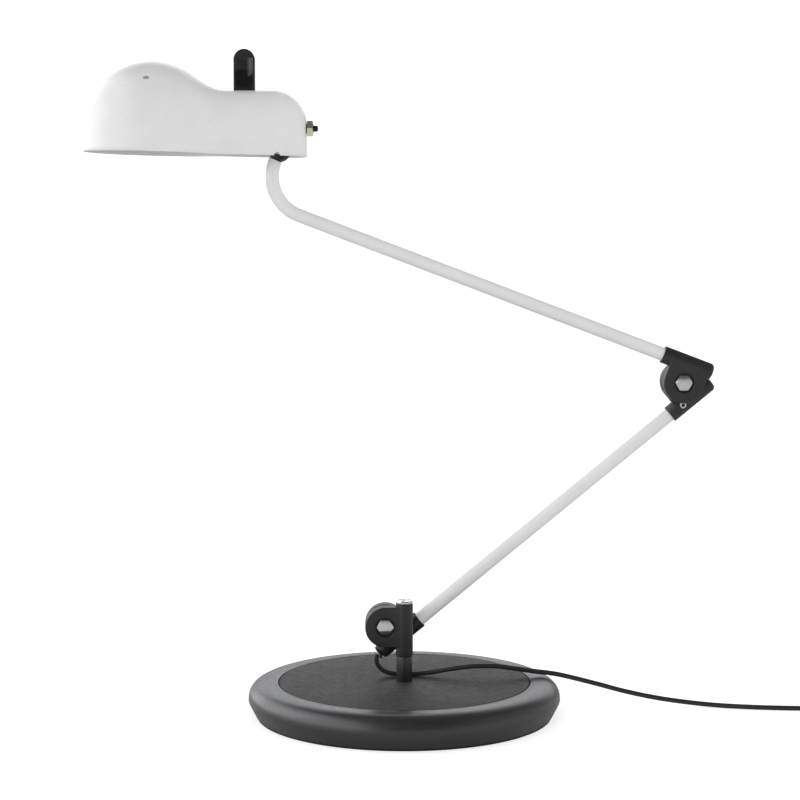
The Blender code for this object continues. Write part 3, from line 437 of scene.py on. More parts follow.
def hexagon(radius, low, high, bore=0.0, crown=0.0, matrix=None, per_side=10):
    """A hexagon bar end with the turned chamfer that bolts and nuts have."""
    bm = bmesh.new()
    flat = radius * cos(HALF / 6)
    chamfer_r = 0.985 * flat
    chamfer_slope = 0.42
    bore_edge = 0.0004
    count = 6 * per_side

    def ring(height, inner=None, chamfered=False):
        """A hexagonal ring, or a round one of radius `inner`."""
        verts = []
        for k in range(count):
            angle = FULL * k / count
            reach = inner or flat / cos(angle % (HALF / 3) - HALF / 6)
            drop = chamfer_slope * max(0.0, reach - chamfer_r) if chamfered else 0.0
            verts.append(bm.verts.new((reach * sin(angle), reach * cos(angle), height - drop)))
        return verts

    rings = [ring(low), ring(high, chamfered=True), ring(high, chamfer_r)]
    if bore:
        rings += [ring(high, bore + bore_edge), ring(high - bore_edge, bore)]
        rings += [ring(low + bore_edge, bore), ring(low, bore + bore_edge)]
        bridge(bm, rings, closed=True)
    else:
        for share in (0.95, 0.8, 0.6, 0.4, 0.2):
            rings.append(ring(high + crown * (1.0 - share * share), chamfer_r * share))
        bridge(bm, rings, caps=True)
    return placed(bm, matrix)


def tube(points, radius, sides=20, wall=0.0):
    """A round tube along points, with frames carried along so it never twists."""
    bm = bmesh.new()
    pts = [Vector(p) for p in points]
    heads = [(pts[min(k + 1, len(pts) - 1)] - pts[max(k - 1, 0)]).normalized() for k in range(len(pts))]
    side = heads[0].orthogonal().normalized()
    rings, inner = [], []
    for point, head in zip(pts, heads):
        side = (side - head * side.dot(head)).normalized()
        up = head.cross(side)
        spokes = [side * cos(FULL * k / sides) + up * sin(FULL * k / sides) for k in range(sides)]
        rings.append([bm.verts.new(point + radius * s) for s in spokes])
        if wall:
            inner.append([bm.verts.new(point + (radius - wall) * s) for s in spokes])
    if wall:
        bridge(bm, rings + inner[::-1], closed=True)
    else:
        bridge(bm, rings, caps=True)
    return bm


def join(*parts):
    """One mesh out of several closed ones."""
    whole = parts[0]
    for part in parts[1:]:
        mesh = bpy.data.meshes.new("part")
        part.to_mesh(mesh)
        part.free()
        whole.from_mesh(mesh)
        bpy.data.meshes.remove(mesh)
    return whole


def carve(bm, *cutters, added=()):
    """Join the added meshes to one and cut the cutters out of it, with exact Booleans."""
    def temporary(source):
        bmesh.ops.recalc_face_normals(source, faces=source.faces)
        mesh = bpy.data.meshes.new("work")
        source.to_mesh(mesh)
        source.free()
        obj = bpy.data.objects.new("work", mesh)
        SCENE.collection.objects.link(obj)
        return obj

    work = temporary(bm)
    tools = []
    for tool in (*added, *cutters):
        tools.append(temporary(tool))
        mod = work.modifiers.new("carve", "BOOLEAN")
        mod.operation = "UNION" if len(tools) <= len(added) else "DIFFERENCE"
        mod.solver = "EXACT"
        mod.object = tools[-1]
    bpy.context.view_layer.update()
    evaluated = work.evaluated_get(bpy.context.evaluated_depsgraph_get())
    mesh = bpy.data.meshes.new_from_object(evaluated)
    result = bmesh.new()
    result.from_mesh(mesh)
    for obj in [work] + tools:
        data = obj.data
        bpy.data.objects.remove(obj, do_unlink=True)
        bpy.data.meshes.remove(data)
    bpy.data.meshes.remove(mesh)
    return result


def smooth_line(knots, step):
    """Even points along a Catmull-Rom curve through the knots."""
    p = np.array([tuple(k) for k in knots], float)
    p = np.vstack([2 * p[0] - p[1], p, 2 * p[-1] - p[-2]])
    t = np.linspace(0.0, 1.0, 16, endpoint=False)[:, None]
    dense = [
        0.5 * (2 * p[k] + (p[k + 1] - p[k - 1]) * t
               + (2 * p[k - 1] - 5 * p[k] + 4 * p[k + 1] - p[k + 2]) * t ** 2
               + (3 * p[k] - p[k - 1] - 3 * p[k + 1] + p[k + 2]) * t ** 3)
        for k in range(1, len(p) - 2)]
    dense = np.vstack(dense + [p[-2]])
    walked = np.concatenate([[0.0], np.cumsum(np.linalg.norm(np.diff(dense, axis=0), axis=1))])
    marks = np.linspace(0.0, walked[-1], max(2, round(walked[-1] / step)) + 1)
    columns = [np.interp(marks, walked, dense[:, k]) for k in range(3)]
    return [Vector(row) for row in np.column_stack(columns)]


# ---- bracket frames ----
def bracket_frame(pivot, up, out, layer):
    """Pivot at the origin, the sleeve out along X and running along Z."""
    axes = Matrix((out, up.cross(out), up)).transposed().to_4x4()
    return Matrix.Translation(Vector((pivot.x, layer, pivot.z))) @ axes


def front_side(at):
    """Which way along a bracket's own Y the viewer stands."""
    return -1.0 if at.col[1].y > 0.0 else 1.0


def facing(side):
    """Turns Z to the bracket's +Y or, for a negative side, to its -Y."""
    return TO_Y if side > 0 else TO_Y @ TURN_OVER


def on_sleeve(at, z=0.0):
    """The bracket's frame moved on to its sleeve's centre line."""
    return at @ Matrix.Translation((PIVOT_OFFSET, 0.0, z))


lower_up = (ELBOW_PIVOT - LOWER_PIVOT).normalized()
lower_out = Vector((lower_up.z, 0.0, -lower_up.x))
upper_up = Vector((cos(UPPER_SLOPE), 0.0, -sin(UPPER_SLOPE)))
upper_out = Vector((sin(UPPER_SLOPE), 0.0, cos(UPPER_SLOPE)))
base_frame = bracket_frame(LOWER_PIVOT, Vector((0, 0, 1)), Vector((1, 0, 0)), 0.0)
foot_frame = bracket_frame(LOWER_PIVOT, -lower_up, lower_out, LAYER_Y)
head_frame = bracket_frame(ELBOW_PIVOT, lower_up, lower_out, LAYER_Y)
upper_frame = bracket_frame(ELBOW_PIVOT, upper_up, upper_out, 0.0)


# ---- the flex: out of the gland, over the base, along the floor and into a coil ----
CORD_ROUTE = [
    (-0.0204, 0.0131, 0.0413), (-0.0206, 0.0131, 0.0386), (-0.0200, 0.0131, 0.0353),
    (-0.0184, 0.0131, 0.0323), (-0.0154, 0.0131, 0.0297), (-0.0112, 0.0132, 0.0278),
    (-0.0060, 0.0134, 0.0270), (0.0000, 0.0136, 0.0269), (0.0085, 0.0136, 0.0269),
    (0.0142, 0.0134, 0.0273), (0.0200, 0.0127, 0.0282), (0.0351, 0.0106, 0.0312),
    (0.0504, 0.0097, 0.0333), (0.0683, 0.0101, 0.0333), (0.0797, 0.0111, 0.0317),
    (0.0971, 0.0130, 0.0287), (0.1090, 0.0139, 0.0271), (0.1210, 0.0144, 0.0247),
    (0.1434, 0.0154, 0.0188), (0.1661, 0.0160, 0.0125), (0.1888, 0.0161, 0.0076),
    (0.2114, 0.0158, 0.0042), (0.2342, 0.0142, 0.0021), (0.2557, 0.0092, 0.0019),
    (0.2774, 0.0056, 0.0019), (0.2958, 0.0040, 0.0019), (0.3080, 0.0033, 0.0019),
]
BEHIND_POST = 7  # the route's point where the lead ends and the run starts
COIL_C, COIL_R = Vector((0.3460, 0.0230, 0.0074)), 0.0200
TURN_STEPS = 30
SHIFT_FROM = 0.80  # share of a turn after which the cord moves to its next slot
COIL_SLOTS = [  # distance out from the coil's radius and height, turn by turn
    (0.0038, 0.0019), (0.0000, 0.0019), (-0.0038, 0.0019),
    (-0.0057, 0.0051), (-0.0019, 0.0051), (0.0019, 0.0051), (0.0057, 0.0051),
    (0.0038, 0.0083), (0.0000, 0.0083), (0.0019, 0.0115),
]
PLUG_C = Vector((0.4200, 0.0230, 0.0070))
PLUG_TAIL = [
    (0.3590, 0.0042, 0.0117), (0.3660, 0.0092, 0.0112), (0.3735, 0.0152, 0.0100),
    (0.3815, 0.0202, 0.0084), (0.3900, 0.0226, 0.0072), (0.3960, 0.0230, 0.0070),
    (0.4022, 0.0230, 0.0070),
]


def coil_points():
    """Turn after turn, each easing into the next slot near the end of its lap."""
    points = []
    for turn, (out, height) in enumerate(COIL_SLOTS):
        next_out, next_height = COIL_SLOTS[min(turn + 1, len(COIL_SLOTS) - 1)]
        for k in range(TURN_STEPS):
            share = k / TURN_STEPS
            ease = min(max((share - SHIFT_FROM) / (1.0 - SHIFT_FROM), 0.0), 1.0)
            ease = ease * ease * (3.0 - 2.0 * ease)
            radius = COIL_R + out + (next_out - out) * ease
            angle = -QUARTER + FULL * share
            points.append(Vector((
                COIL_C.x + radius * cos(angle),
                COIL_C.y + radius * sin(angle),
                height + (next_height - height) * ease)))
    last = COIL_R + COIL_SLOTS[-1][0]
    for k in range(3):
        angle = -QUARTER + FULL * k / TURN_STEPS
        points.append(Vector((
            COIL_C.x + last * cos(angle),
            COIL_C.y + last * sin(angle),
            COIL_SLOTS[-1][1] + 0.0001)))
    return points


def make_cord():
    """A short lead from the lower bracket's gland to behind the post, then the run with its coil and plug
    end.
    """
    inside = on_sleeve(foot_frame, SLEEVE_TAIL - 0.0045).translation
    outside = on_sleeve(foot_frame, SLEEVE_TAIL + 0.0012).translation
    lead = smooth_line([inside, outside] + CORD_ROUTE[:BEHIND_POST + 3], 0.0012)
    post_point = Vector(CORD_ROUTE[BEHIND_POST])
    cut = min(range(len(lead)), key=lambda k: (lead[k] - post_point).length)
    run = smooth_line(CORD_ROUTE[BEHIND_POST - 2:] + [tuple(p) for p in coil_points()] + PLUG_TAIL, 0.0030)
    start = min(range(len(run)), key=lambda k: (run[k] - post_point).length)
    lead, run = lead[:cut + 1], run[start:]
    run[0] = lead[-1].copy()
    top = smooth_object("flex_lead", tube(lead, CORD_R), FINISH["flex"])
    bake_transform(top)
    rest = smooth_object("flex_run", tube(run, CORD_R), FINISH["flex"])
    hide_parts("power_cord", "cord_coil", "plug_cord")
    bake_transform(rest)
    return top, rest, run, outside


make_camera()
flex_lead, flex_run, flex_path, gland_mouth = make_cord()


# ---- base ----
def make_base():
    """Rounded ring, the textured disc let into it behind a seam, and the foot pad."""
    ring = [(BASE_FOOT_R - 0.0035, PAD_T), (BASE_FOOT_R - 0.0004, PAD_T), (BASE_FOOT_R, PAD_T + 0.0003)]
    ring += [(BASE_R - SKIRT_IN, SKIRT_LOW_Z + 0.0006), (BASE_R - 0.0002, SKIRT_LOW_Z + 0.0014)]
    ring += [
        (BASE_R - BASE_EDGE_W * (1.0 - max(out, 0.0) ** BASE_EDGE_POWER),
         BASE_H - BASE_EDGE_H * (1.0 - up ** BASE_EDGE_POWER))
        for out, up in arc((0.0, 0.0), 1.0, 0.0, 90.0, 36)]
    seam = SEAM_R + SEAM_GAP
    ring += [(seam + 0.0004, BASE_H), (seam + 0.0001, BASE_H - 0.0001), (seam, BASE_H - 0.0004)]
    ring += [(seam, BASE_H - 0.0033), (BASE_R - 0.6 * BASE_EDGE_W, BASE_H - 0.0039)]
    ring += [(BASE_R - 0.0035, 0.0140), (BASE_R - 0.0035, 0.0100)]
    piece("base_rim", lathe(ring, 192, closed=True), "base_ring")
    bore = POST_R + 0.0002
    disc = soften(ring_box(bore, SEAM_R, BASE_H - 0.0030, BASE_H), 0.0003, 3, closed=True)
    plate = lathe(disc, 192, closed=True)
    piece("base_plate", plate, "base_top_disc", mat=GRAINED)
    pad_r = BASE_FOOT_R - PAD_IN
    pad = [(0.0, 0.0), (pad_r, 0.0), (pad_r + 0.0005, PAD_T - GAP), (0.0, PAD_T - GAP)]
    piece("base_pad", lathe(soften(pad, 0.0004), 128), "base_foot_pad")


# ---- post and cap ----
def make_post():
    """Gloss shaft with its spigot through the bracket, and the slotted cap."""
    cap_z = LOWER_PIVOT.z + SLEEVE_TAIL + GAP
    shaft = [(0.0, 0.0040), (0.0038, 0.0040), (0.0038, 0.0122), (POST_R, 0.0126)]
    shaft += [(POST_R, SLEEVE_BOTTOM_Z - GAP), (SPIGOT_R, SLEEVE_BOTTOM_Z - GAP)]
    shaft += [(SPIGOT_R, cap_z - 0.0001), (0.0, cap_z - 0.0001)]
    piece("post_shaft", lathe(soften(shaft, 0.0003), 72), "post")
    rim, edge = cap_z + CAP_H, 0.0007
    cap = [(0.0, cap_z), (CAP_R - 0.0002, cap_z), (CAP_R, cap_z + 0.0002)]
    cap += arc((CAP_R - edge, rim - edge), edge, 0.0, 90.0, 5) + [(0.0, rim)]
    body = lathe(cap, 72)
    slot = bmesh.new()
    bmesh.ops.create_cube(slot, size=1.0)
    bmesh.ops.scale(slot, vec=(2.4 * CAP_R, 0.0017, 0.0024), verts=slot.verts)
    bmesh.ops.translate(slot, vec=(0.0, 0.0, rim), verts=slot.verts)
    bmesh.ops.rotate(slot, matrix=Matrix.Rotation(radians(72.0), 3, "Z"), verts=slot.verts)
    piece("post_screw_cap", carve(body, slot), "post_cap")


# ---- arm brackets ----
def boss_plate():
    """Round-backed plate in local XZ, its long edges rounded over."""
    bm = bmesh.new()
    root = PIVOT_OFFSET + 0.0013  # just inside the sleeve
    edge = 0.0009

    def ring(inset, y):
        outline = arc((0.0, 0.0), BOSS_R - inset, 90.0, 270.0, 48)
        outline += [(root, inset - BOSS_R), (root, BOSS_R - inset)]
        return [bm.verts.new((x, y, z)) for x, z in outline]

    steps = [(edge * (1.0 - sin(a)), 0.5 * PLATE_T - edge * (1.0 - cos(a)))
             for a in (QUARTER * k / 4 for k in range(5))]
    rings = [ring(inset, -y) for inset, y in steps] + [ring(inset, y) for inset, y in reversed(steps)]
    bridge(bm, rings, caps=True)
    return bm


def bracket(name, at, node, recess_side, bore, through=False, outlet=0.0, screw_side=0.0):
    """Boss plate and sleeve in one moulding, with its bores and its sunk seats.

    The sides are +1 or -1 along the bracket's own Y; `through` bores the sleeve
    from end to end, and `outlet` is the radius of a cord hole in its tail.
    """
    sleeve = Matrix.Translation((PIVOT_OFFSET, 0.0, 0.0))
    mouth_round = 0.0004
    tail_round = mouth_round if through else TAIL_ROUND
    barrel = [(0.0, -SLEEVE_MOUTH)]
    barrel += arc((SLEEVE_R - mouth_round, mouth_round - SLEEVE_MOUTH), mouth_round, -90.0, 0.0, 4)
    barrel += arc((SLEEVE_R - tail_round, SLEEVE_TAIL - tail_round), tail_round, 0.0, 90.0, 8)
    barrel += [(0.0, SLEEVE_TAIL)]
    cuts = [drill(BOLT_R + 0.0001, -0.02, 0.02, TO_Y)]
    face, past = 0.5 * PLATE_T, 0.004
    pocket = [(0.0, face - RECESS_D), (RECESS_R, face - RECESS_D), (RECESS_R, face - GAP)]
    pocket += [(RECESS_R + GAP, face), (RECESS_R + GAP, face + past), (0.0, face + past)]
    cuts.append(lathe(pocket, 64, matrix=facing(recess_side)))
    deep = SLEEVE_TAIL + past if through else TUBE_INSET - SLEEVE_MOUTH + 2.0 * GAP
    hole = [(0.0, -SLEEVE_MOUTH - past), (bore + GAP, -SLEEVE_MOUTH - past), (bore + GAP, -SLEEVE_MOUTH)]
    hole += [(bore, -SLEEVE_MOUTH + GAP), (bore, deep), (0.0, deep)]
    cuts.append(lathe(hole, 60, matrix=sleeve))
    if outlet:
        cuts.append(drill(outlet, deep - 0.002, SLEEVE_TAIL + past, sleeve))
    if screw_side:
        seat = Matrix.Translation((PIVOT_OFFSET, 0.0, -SET_SCREW_AT)) @ facing(screw_side)
        cuts.append(drill(SET_SCREW_R + 0.0002, TUBE_R - GAP, 2.0 * TUBE_R, seat))
    whole = carve(boss_plate(), *cuts, added=[lathe(barrel, 72, matrix=sleeve)])
    piece(name, whole, node, matrix=at, sharp=32.0)


def set_screw(name, at, side, node):
    """A cup-point grub screw: bright rim round a hexagon socket whose faces are painted black as painted
    shade.
    """
    low = TUBE_R + 0.00015
    high = low + SET_SCREW_H
    rim = soften([(0.0, low), (SET_SCREW_R, low), (SET_SCREW_R, high), (0.0013, high)], 0.0004)
    socket_r = 0.0015
    socket = hexagon(socket_r, high - 0.0010, high + 0.001, per_side=1)
    bm = carve(lathe(rim + [(0.0, high)], 40), socket)
    where = at @ Matrix.Translation((PIVOT_OFFSET, 0.0, -SET_SCREW_AT)) @ facing(side)
    screw = piece(name, bm, node, matrix=where, sharp=30.0)
    # Black gloss on the socket's inner faces is painted shade in the recess.
    screw.data.materials.append(FINISH["black_gloss"])
    back = where.inverted()
    for polygon in screw.data.polygons:
        inside = back @ polygon.center
        sunk = low + 0.0001 < inside.z < high - 0.0001
        if sunk and hypot(inside.x, inside.y) < socket_r - 0.00005:
            polygon.material_index = 1


def pivot(prefix, where):
    """Hex bolt from the near side, nut from the far side, washer in between."""
    at = Matrix.Translation(Vector((where.x, 0.0, where.z))) @ TO_Y @ Matrix.Rotation(QUARTER, 4, "Z")
    seat = -0.5 * PLATE_T + RECESS_D - GAP
    crown = 0.0005
    head = hexagon(HEX_R, -seat, -seat + HEX_H - crown, crown=crown, matrix=TURN_OVER)
    tip = LAYER_Y + 0.5 * PLATE_T - 2.0 * GAP
    shank = soften([(0.0, seat - 0.0002), (BOLT_R, seat - 0.0002), (BOLT_R, tip), (0.0, tip)], 0.0005)
    bolt = join(head, lathe(shank, 40))
    piece(prefix + "_hex_bolt", bolt, prefix + "_bolt", matrix=at, sharp=25.0)
    nut_seat = LAYER_Y + 0.5 * PLATE_T - RECESS_D + GAP
    nut = hexagon(HEX_R, nut_seat, nut_seat + HEX_H, bore=BOLT_R + 0.0001)
    piece(prefix + "_hex_nut", nut, prefix + "_nut", matrix=at, sharp=25.0)
    faces = (0.5 * PLATE_T + GAP, LAYER_Y - 0.5 * PLATE_T - GAP)
    washer = soften(ring_box(BOLT_R + GAP, WASHER_R, *faces), 0.0003, closed=True)
    spacer = lathe(washer, 64, closed=True)
    piece(prefix + "_spacer", spacer, prefix + "_washer", matrix=at)


def make_brackets():
    bore = TUBE_R + 0.0002
    bracket("post_bracket", base_frame, "base_bracket", front_side(base_frame), SPIGOT_R + 0.0001,
            through=True)
    rear = -front_side(foot_frame), -front_side(head_frame)
    bracket("foot_bracket", foot_frame, "lower_arm_foot_bracket", rear[0], bore,
            outlet=STUD_R, screw_side=-rear[0])
    bracket("elbow_rear_bracket", head_frame, "lower_arm_head_bracket", rear[1], bore, screw_side=-rear[1])
    front = front_side(upper_frame)
    bracket("elbow_front_bracket", upper_frame, "upper_arm_bracket", front, bore, screw_side=-front)
    set_screw("foot_grub_screw", foot_frame, -rear[0], "foot_set_screw")
    set_screw("elbow_grub_screw", head_frame, -rear[1], "head_set_screw")
    set_screw("upper_grub_screw", upper_frame, -front, "upper_set_screw")
    pivot("lower_pivot", LOWER_PIVOT)
    pivot("elbow", ELBOW_PIVOT)


# ---- tube arms and ball ----
def upper_arm_line():
    """The straight, the bend, and a last point just short of the ball's centre."""
    start = on_sleeve(upper_frame, TUBE_INSET - SLEEVE_MOUTH).translation
    bend_x = BALL_C.x - BEND_REACH + BEND_R
    climb = (start.x - bend_x) * tan(UPPER_SLOPE)
    centre = Vector((bend_x, 0.0, start.z + climb + BEND_R / cos(UPPER_SLOPE)))
    line = [start]
    first = HALF - UPPER_SLOPE
    for k in range(41):
        heading = first + (BEND_END - first) * k / 40
        point = centre + BEND_R * Vector((-sin(heading), 0.0, cos(heading)))
        if (point - BALL_C).length > BALL_R + 4.0 * GAP:
            line.append(point)
    towards = (BALL_C - line[-1]).normalized()
    line.append(BALL_C - towards * TUBE_END)
    return line, towards


def make_arms():
    ends = [on_sleeve(at, TUBE_INSET - SLEEVE_MOUTH).translation for at in (foot_frame, head_frame)]
    line, towards = upper_arm_line()
    piece("lower_tube", tube(ends, TUBE_R, 56, wall=TUBE_WALL), "lower_arm_tube")
    piece("upper_tube", tube(line, TUBE_R, 56, wall=TUBE_WALL), "upper_arm_tube")
    stem = degrees(acos(STUD_R / BALL_R))
    ball = [(0.0, -BALL_R - STUD_L), (STUD_R, -BALL_R - STUD_L)]
    ball += arc((0.0, 0.0), BALL_R, -stem, 90.0, 30)[:-1] + [(0.0, BALL_R)]
    turn = Matrix.Translation(BALL_C) @ towards.to_track_quat("Z", "Y").to_matrix().to_4x4()
    piece("ball_stud", lathe(ball, 56), "head_ball", matrix=turn)


# ---- shade ----
def shade_field(x, y, z):
    """Distance to a dome and a narrower round back, both carried straight down."""
    dome = np.sqrt((x - DOME_C.x) ** 2 + y ** 2 + np.maximum(z - DOME_C.z, 0.0) ** 2) - DOME_R
    near = np.clip(x, DOME_C.x, BACK_C.x)
    back = np.sqrt((x - near) ** 2 + y ** 2 + np.maximum(z - BACK_C.z, 0.0) ** 2) - BACK_R
    fillet = np.hypot(np.maximum(SHADE_FILLET - dome, 0.0), np.maximum(SHADE_FILLET - back, 0.0))
    return np.maximum(SHADE_FILLET, np.minimum(dome, back)) - fillet


def shade_points(stations, tilt, inset):
    """Where rays from the shade's spine meet its skin, `inset` under the outside."""
    x, dx, dy = stations
    low, high = np.zeros_like(x), np.full_like(x, 0.08)  # every ray leaves the shade within 80 mm
    for _ in range(30):
        reach = 0.5 * (low + high)
        out = reach * cos(tilt)
        inside = shade_field(x + dx * out, dy * out, DOME_C.z + reach * sin(tilt)) < -inset
        low, high = np.where(inside, reach, low), np.where(inside, high, reach)
    out = low * cos(tilt)
    return x + dx * out, dy * out, DOME_C.z + low * sin(tilt)


def shade_stations():
    """Spine places and plan directions, once round the shade."""
    spine = DOME_C.x + (BACK_C.x - DOME_C.x) * np.linspace(0.03, 0.97, 44)
    front = np.linspace(QUARTER, QUARTER + HALF, 89)
    rear = np.linspace(-QUARTER, QUARTER, 65)
    x = np.concatenate([0.0 * front + DOME_C.x, spine, 0.0 * rear + BACK_C.x, spine[::-1]])
    dx = np.concatenate([np.cos(front), 0.0 * spine, np.cos(rear), 0.0 * spine])
    dy = np.concatenate([np.sin(front), 0.0 * spine - 1.0, np.sin(rear), 0.0 * spine + 1.0])
    return x, dx, dy


def make_shade():
    """One shell: up the inside, round the rolled rim and up the outside, then drilled."""
    bm = bmesh.new()
    stations = shade_stations()
    rings = []
    rim_lift = 0.0005

    def ring(tilt, inset, share=None, lift=0.0):
        """A ring at a rise, or at a share of the straight wall above the rim."""
        x, y, z = shade_points(stations, tilt, inset)
        if share is not None:
            rim_z = RIM_FRONT_Z - RIM_SLOPE * (x - DOME_C.x + DOME_R)
            z = rim_z + lift + (DOME_C.z - rim_z - lift) * share
        rings.append([bm.verts.new(p) for p in zip(x, y, z)])

    rises = [QUARTER * k / 40 for k in range(1, 41)]
    for tilt in reversed(rises):
        ring(tilt, SHADE_WALL)
    for share in (0.98, 0.7, 0.4, 0.15, 0.0):
        ring(0.0, SHADE_WALL, share, rim_lift)
    for depth, lift in ((0.84, 0.00012), (0.5, 0.0), (0.16, 0.00012)):
        ring(0.0, depth * SHADE_WALL, 0.0, lift)
    for share in (0.0, 0.15, 0.4, 0.7, 0.98):
        ring(0.0, 0.0, share, rim_lift)
    for tilt in rises:
        ring(tilt, 0.0)
    bridge(bm, rings)
    bmesh.ops.remove_doubles(bm, verts=bm.verts, dist=0.00002)
    cuts = []
    for lean, turn_x, radius in VENTS:
        slant = radians(lean)
        heading = Vector((turn_x, -sin(slant), cos(slant)))
        way = Matrix.Translation(DOME_C) @ heading.to_track_quat("Z", "Y").to_matrix().to_4x4()
        flare = radius + 0.0006
        hole = [(0.0, DOME_R - 0.006), (radius, DOME_R - 0.006), (radius, DOME_R - 0.0007)]
        hole += [(radius + 0.0002, DOME_R - 0.0003), (flare, DOME_R), (flare, DOME_R + 0.006)]
        hole += [(0.0, DOME_R + 0.006)]
        cuts.append(lathe(hole, 40, matrix=way))
    cuts.append(drill(0.0020, 0.448, 0.465, HANDLE_AT))
    back = Matrix.Translation((BACK_C.x + BACK_R, 0.0, SWITCH_Z)) @ TO_X
    cuts.append(drill(SWITCH_BORE_R, -0.004, 0.004, back))
    cuts.append(drill(NOTCH_R, -0.004, 0.004, Matrix.Translation(NOTCH_AT) @ TO_Y))
    piece("shade_skin", carve(bm, *cuts), "shade", sharp=42.0)


# ---- handle: a round-topped tab, dished on both faces ----
def make_handle():
    """Flat tab with rounded edges; each face has a stadium-shaped hollow."""
    half_w, half_t, edge = 0.5 * HANDLE_W, 0.5 * HANDLE_T, 0.0007
    crown_z = BACK_C.z + BACK_R
    arch_z = HANDLE_TOP_Z - half_w
    dish_r = half_w - HANDLE_LIP
    dish_z = crown_z + SCOOP_FOOT + dish_r
    bm = bmesh.new()

    def loop(radius, low, belly):
        """Arch over the top, sides, and a foot that is straight or bellied."""
        line = arc((0.0, arch_z), radius, 0.0, 180.0, 40)
        line += [(-radius, arch_z + (low - arch_z) * k / 10) for k in range(1, 10)]
        turns = [HALF * k / 24 for k in range(25)]
        line += [(-radius * cos(a), low - belly * sin(a)) for a in turns]
        line += [(radius, low + (arch_z - low) * k / 10) for k in range(1, 10)]
        return line

    def rim(inset, y):
        """One line round the tab, its foot on the shade's round back."""
        foot = BACK_C.z + sqrt(BACK_R ** 2 - y * y) + 0.0002
        return [bm.verts.new((x, y, z)) for x, z in loop(half_w - inset, foot, 0.0)]

    def dish(share, side):
        """One line round the hollow, drawn in towards its upright centre line."""
        y = side * (half_t - SCOOP_D * (1.0 - share ** 2))
        verts = []
        for x, z in loop(dish_r, dish_z, dish_r):
            spine = min(max(z, dish_z), arch_z)
            verts.append(bm.verts.new((x * share, y, spine + (z - spine) * share)))
        return verts

    def face(side):
        """All lines of one face, from the hollow's middle out to the edge."""
        shares = (1.0, 0.985, 0.96, 0.92, 0.86, 0.78, 0.68, 0.56, 0.42, 0.28, 0.14, 0.0)
        rings = [dish(share, side) for share in reversed(shares)]
        for k in range(5):
            a = QUARTER * (1.0 - k / 4)
            rings.append(rim(edge * (1.0 - cos(a)), side * (half_t - edge * (1.0 - sin(a)))))
        return rings

    bridge(bm, face(-1.0) + face(1.0)[::-1])
    bmesh.ops.remove_doubles(bm, verts=bm.verts, dist=0.00001)
    piece("handle_tab", bm, "handle", matrix=HANDLE_AT, sharp=50.0)


# ---- ball socket, trunnions, fork and the screw that carries the handle ----
def ribbon(path, width_axis, width, thickness, bend=0.0018):
    """A bent strip: a path of points, made `thickness` thick and `width` wide."""
    corners = [Vector(p) for p in path]
    line = [corners[0]]
    for before, corner, after in zip(corners, corners[1:], corners[2:]):
        a = corner + (before - corner).normalized() * bend
        b = corner + (after - corner).normalized() * bend
        line += [(1 - t) ** 2 * a + 2 * t * (1 - t) * corner + t * t * b for t in (k / 6 for k in range(7))]
    line.append(corners[-1])
    side = Vector(width_axis)
    u, v = 0.5 * width, 0.5 * thickness
    section = soften([(-u, -v), (u, -v), (u, v), (-u, v)], 0.0003, 3, closed=True)
    bm = bmesh.new()
    rings = []
    for k, point in enumerate(line):
        ahead = (line[min(k + 1, len(line) - 1)] - line[max(k - 1, 0)]).normalized()
        up = side.cross(ahead)
        rings.append([bm.verts.new(point + side * u + up * v) for u, v in section])
    bridge(bm, rings, caps=True)
    return bm


def make_head_joint():
    """Socket ring round the ball, and the two pins that the shade tilts on."""
    seat_r = BALL_R + GAP
    low, high = (degrees(asin(z / seat_r)) for z in (SOCKET_LOW, SOCKET_HIGH))
    socket = [(SOCKET_R - 0.0004, SOCKET_LOW), (SOCKET_R, SOCKET_LOW + 0.0004)]
    socket += [(SOCKET_R, SOCKET_HIGH - 0.0004), (SOCKET_R - 0.0004, SOCKET_HIGH)]
    socket += arc((0.0, 0.0), seat_r, high, low, 16)
    at = Matrix.Translation(BALL_C)
    piece("socket_ring", lathe(socket, 72, closed=True), "head_socket", matrix=at)
    start, outside = SOCKET_R + 0.0002, FORK_Y + FORK_T + GAP
    pin_r, head_r, head_t = 0.0015, 0.0030, 0.0015
    pin = [(0.0, start), (pin_r, start), (pin_r, outside)]
    pin += [(head_r, outside), (head_r, outside + head_t), (0.0, outside + head_t)]
    for name, side in (("near", -1.0), ("far", 1.0)):
        lay = at @ Matrix.Rotation(-QUARTER * side, 4, "X")
        bm = lathe(soften(pin, 0.0003), 36)
        piece("trunnion_pin_" + name, bm, "trunnion_" + name, matrix=lay)


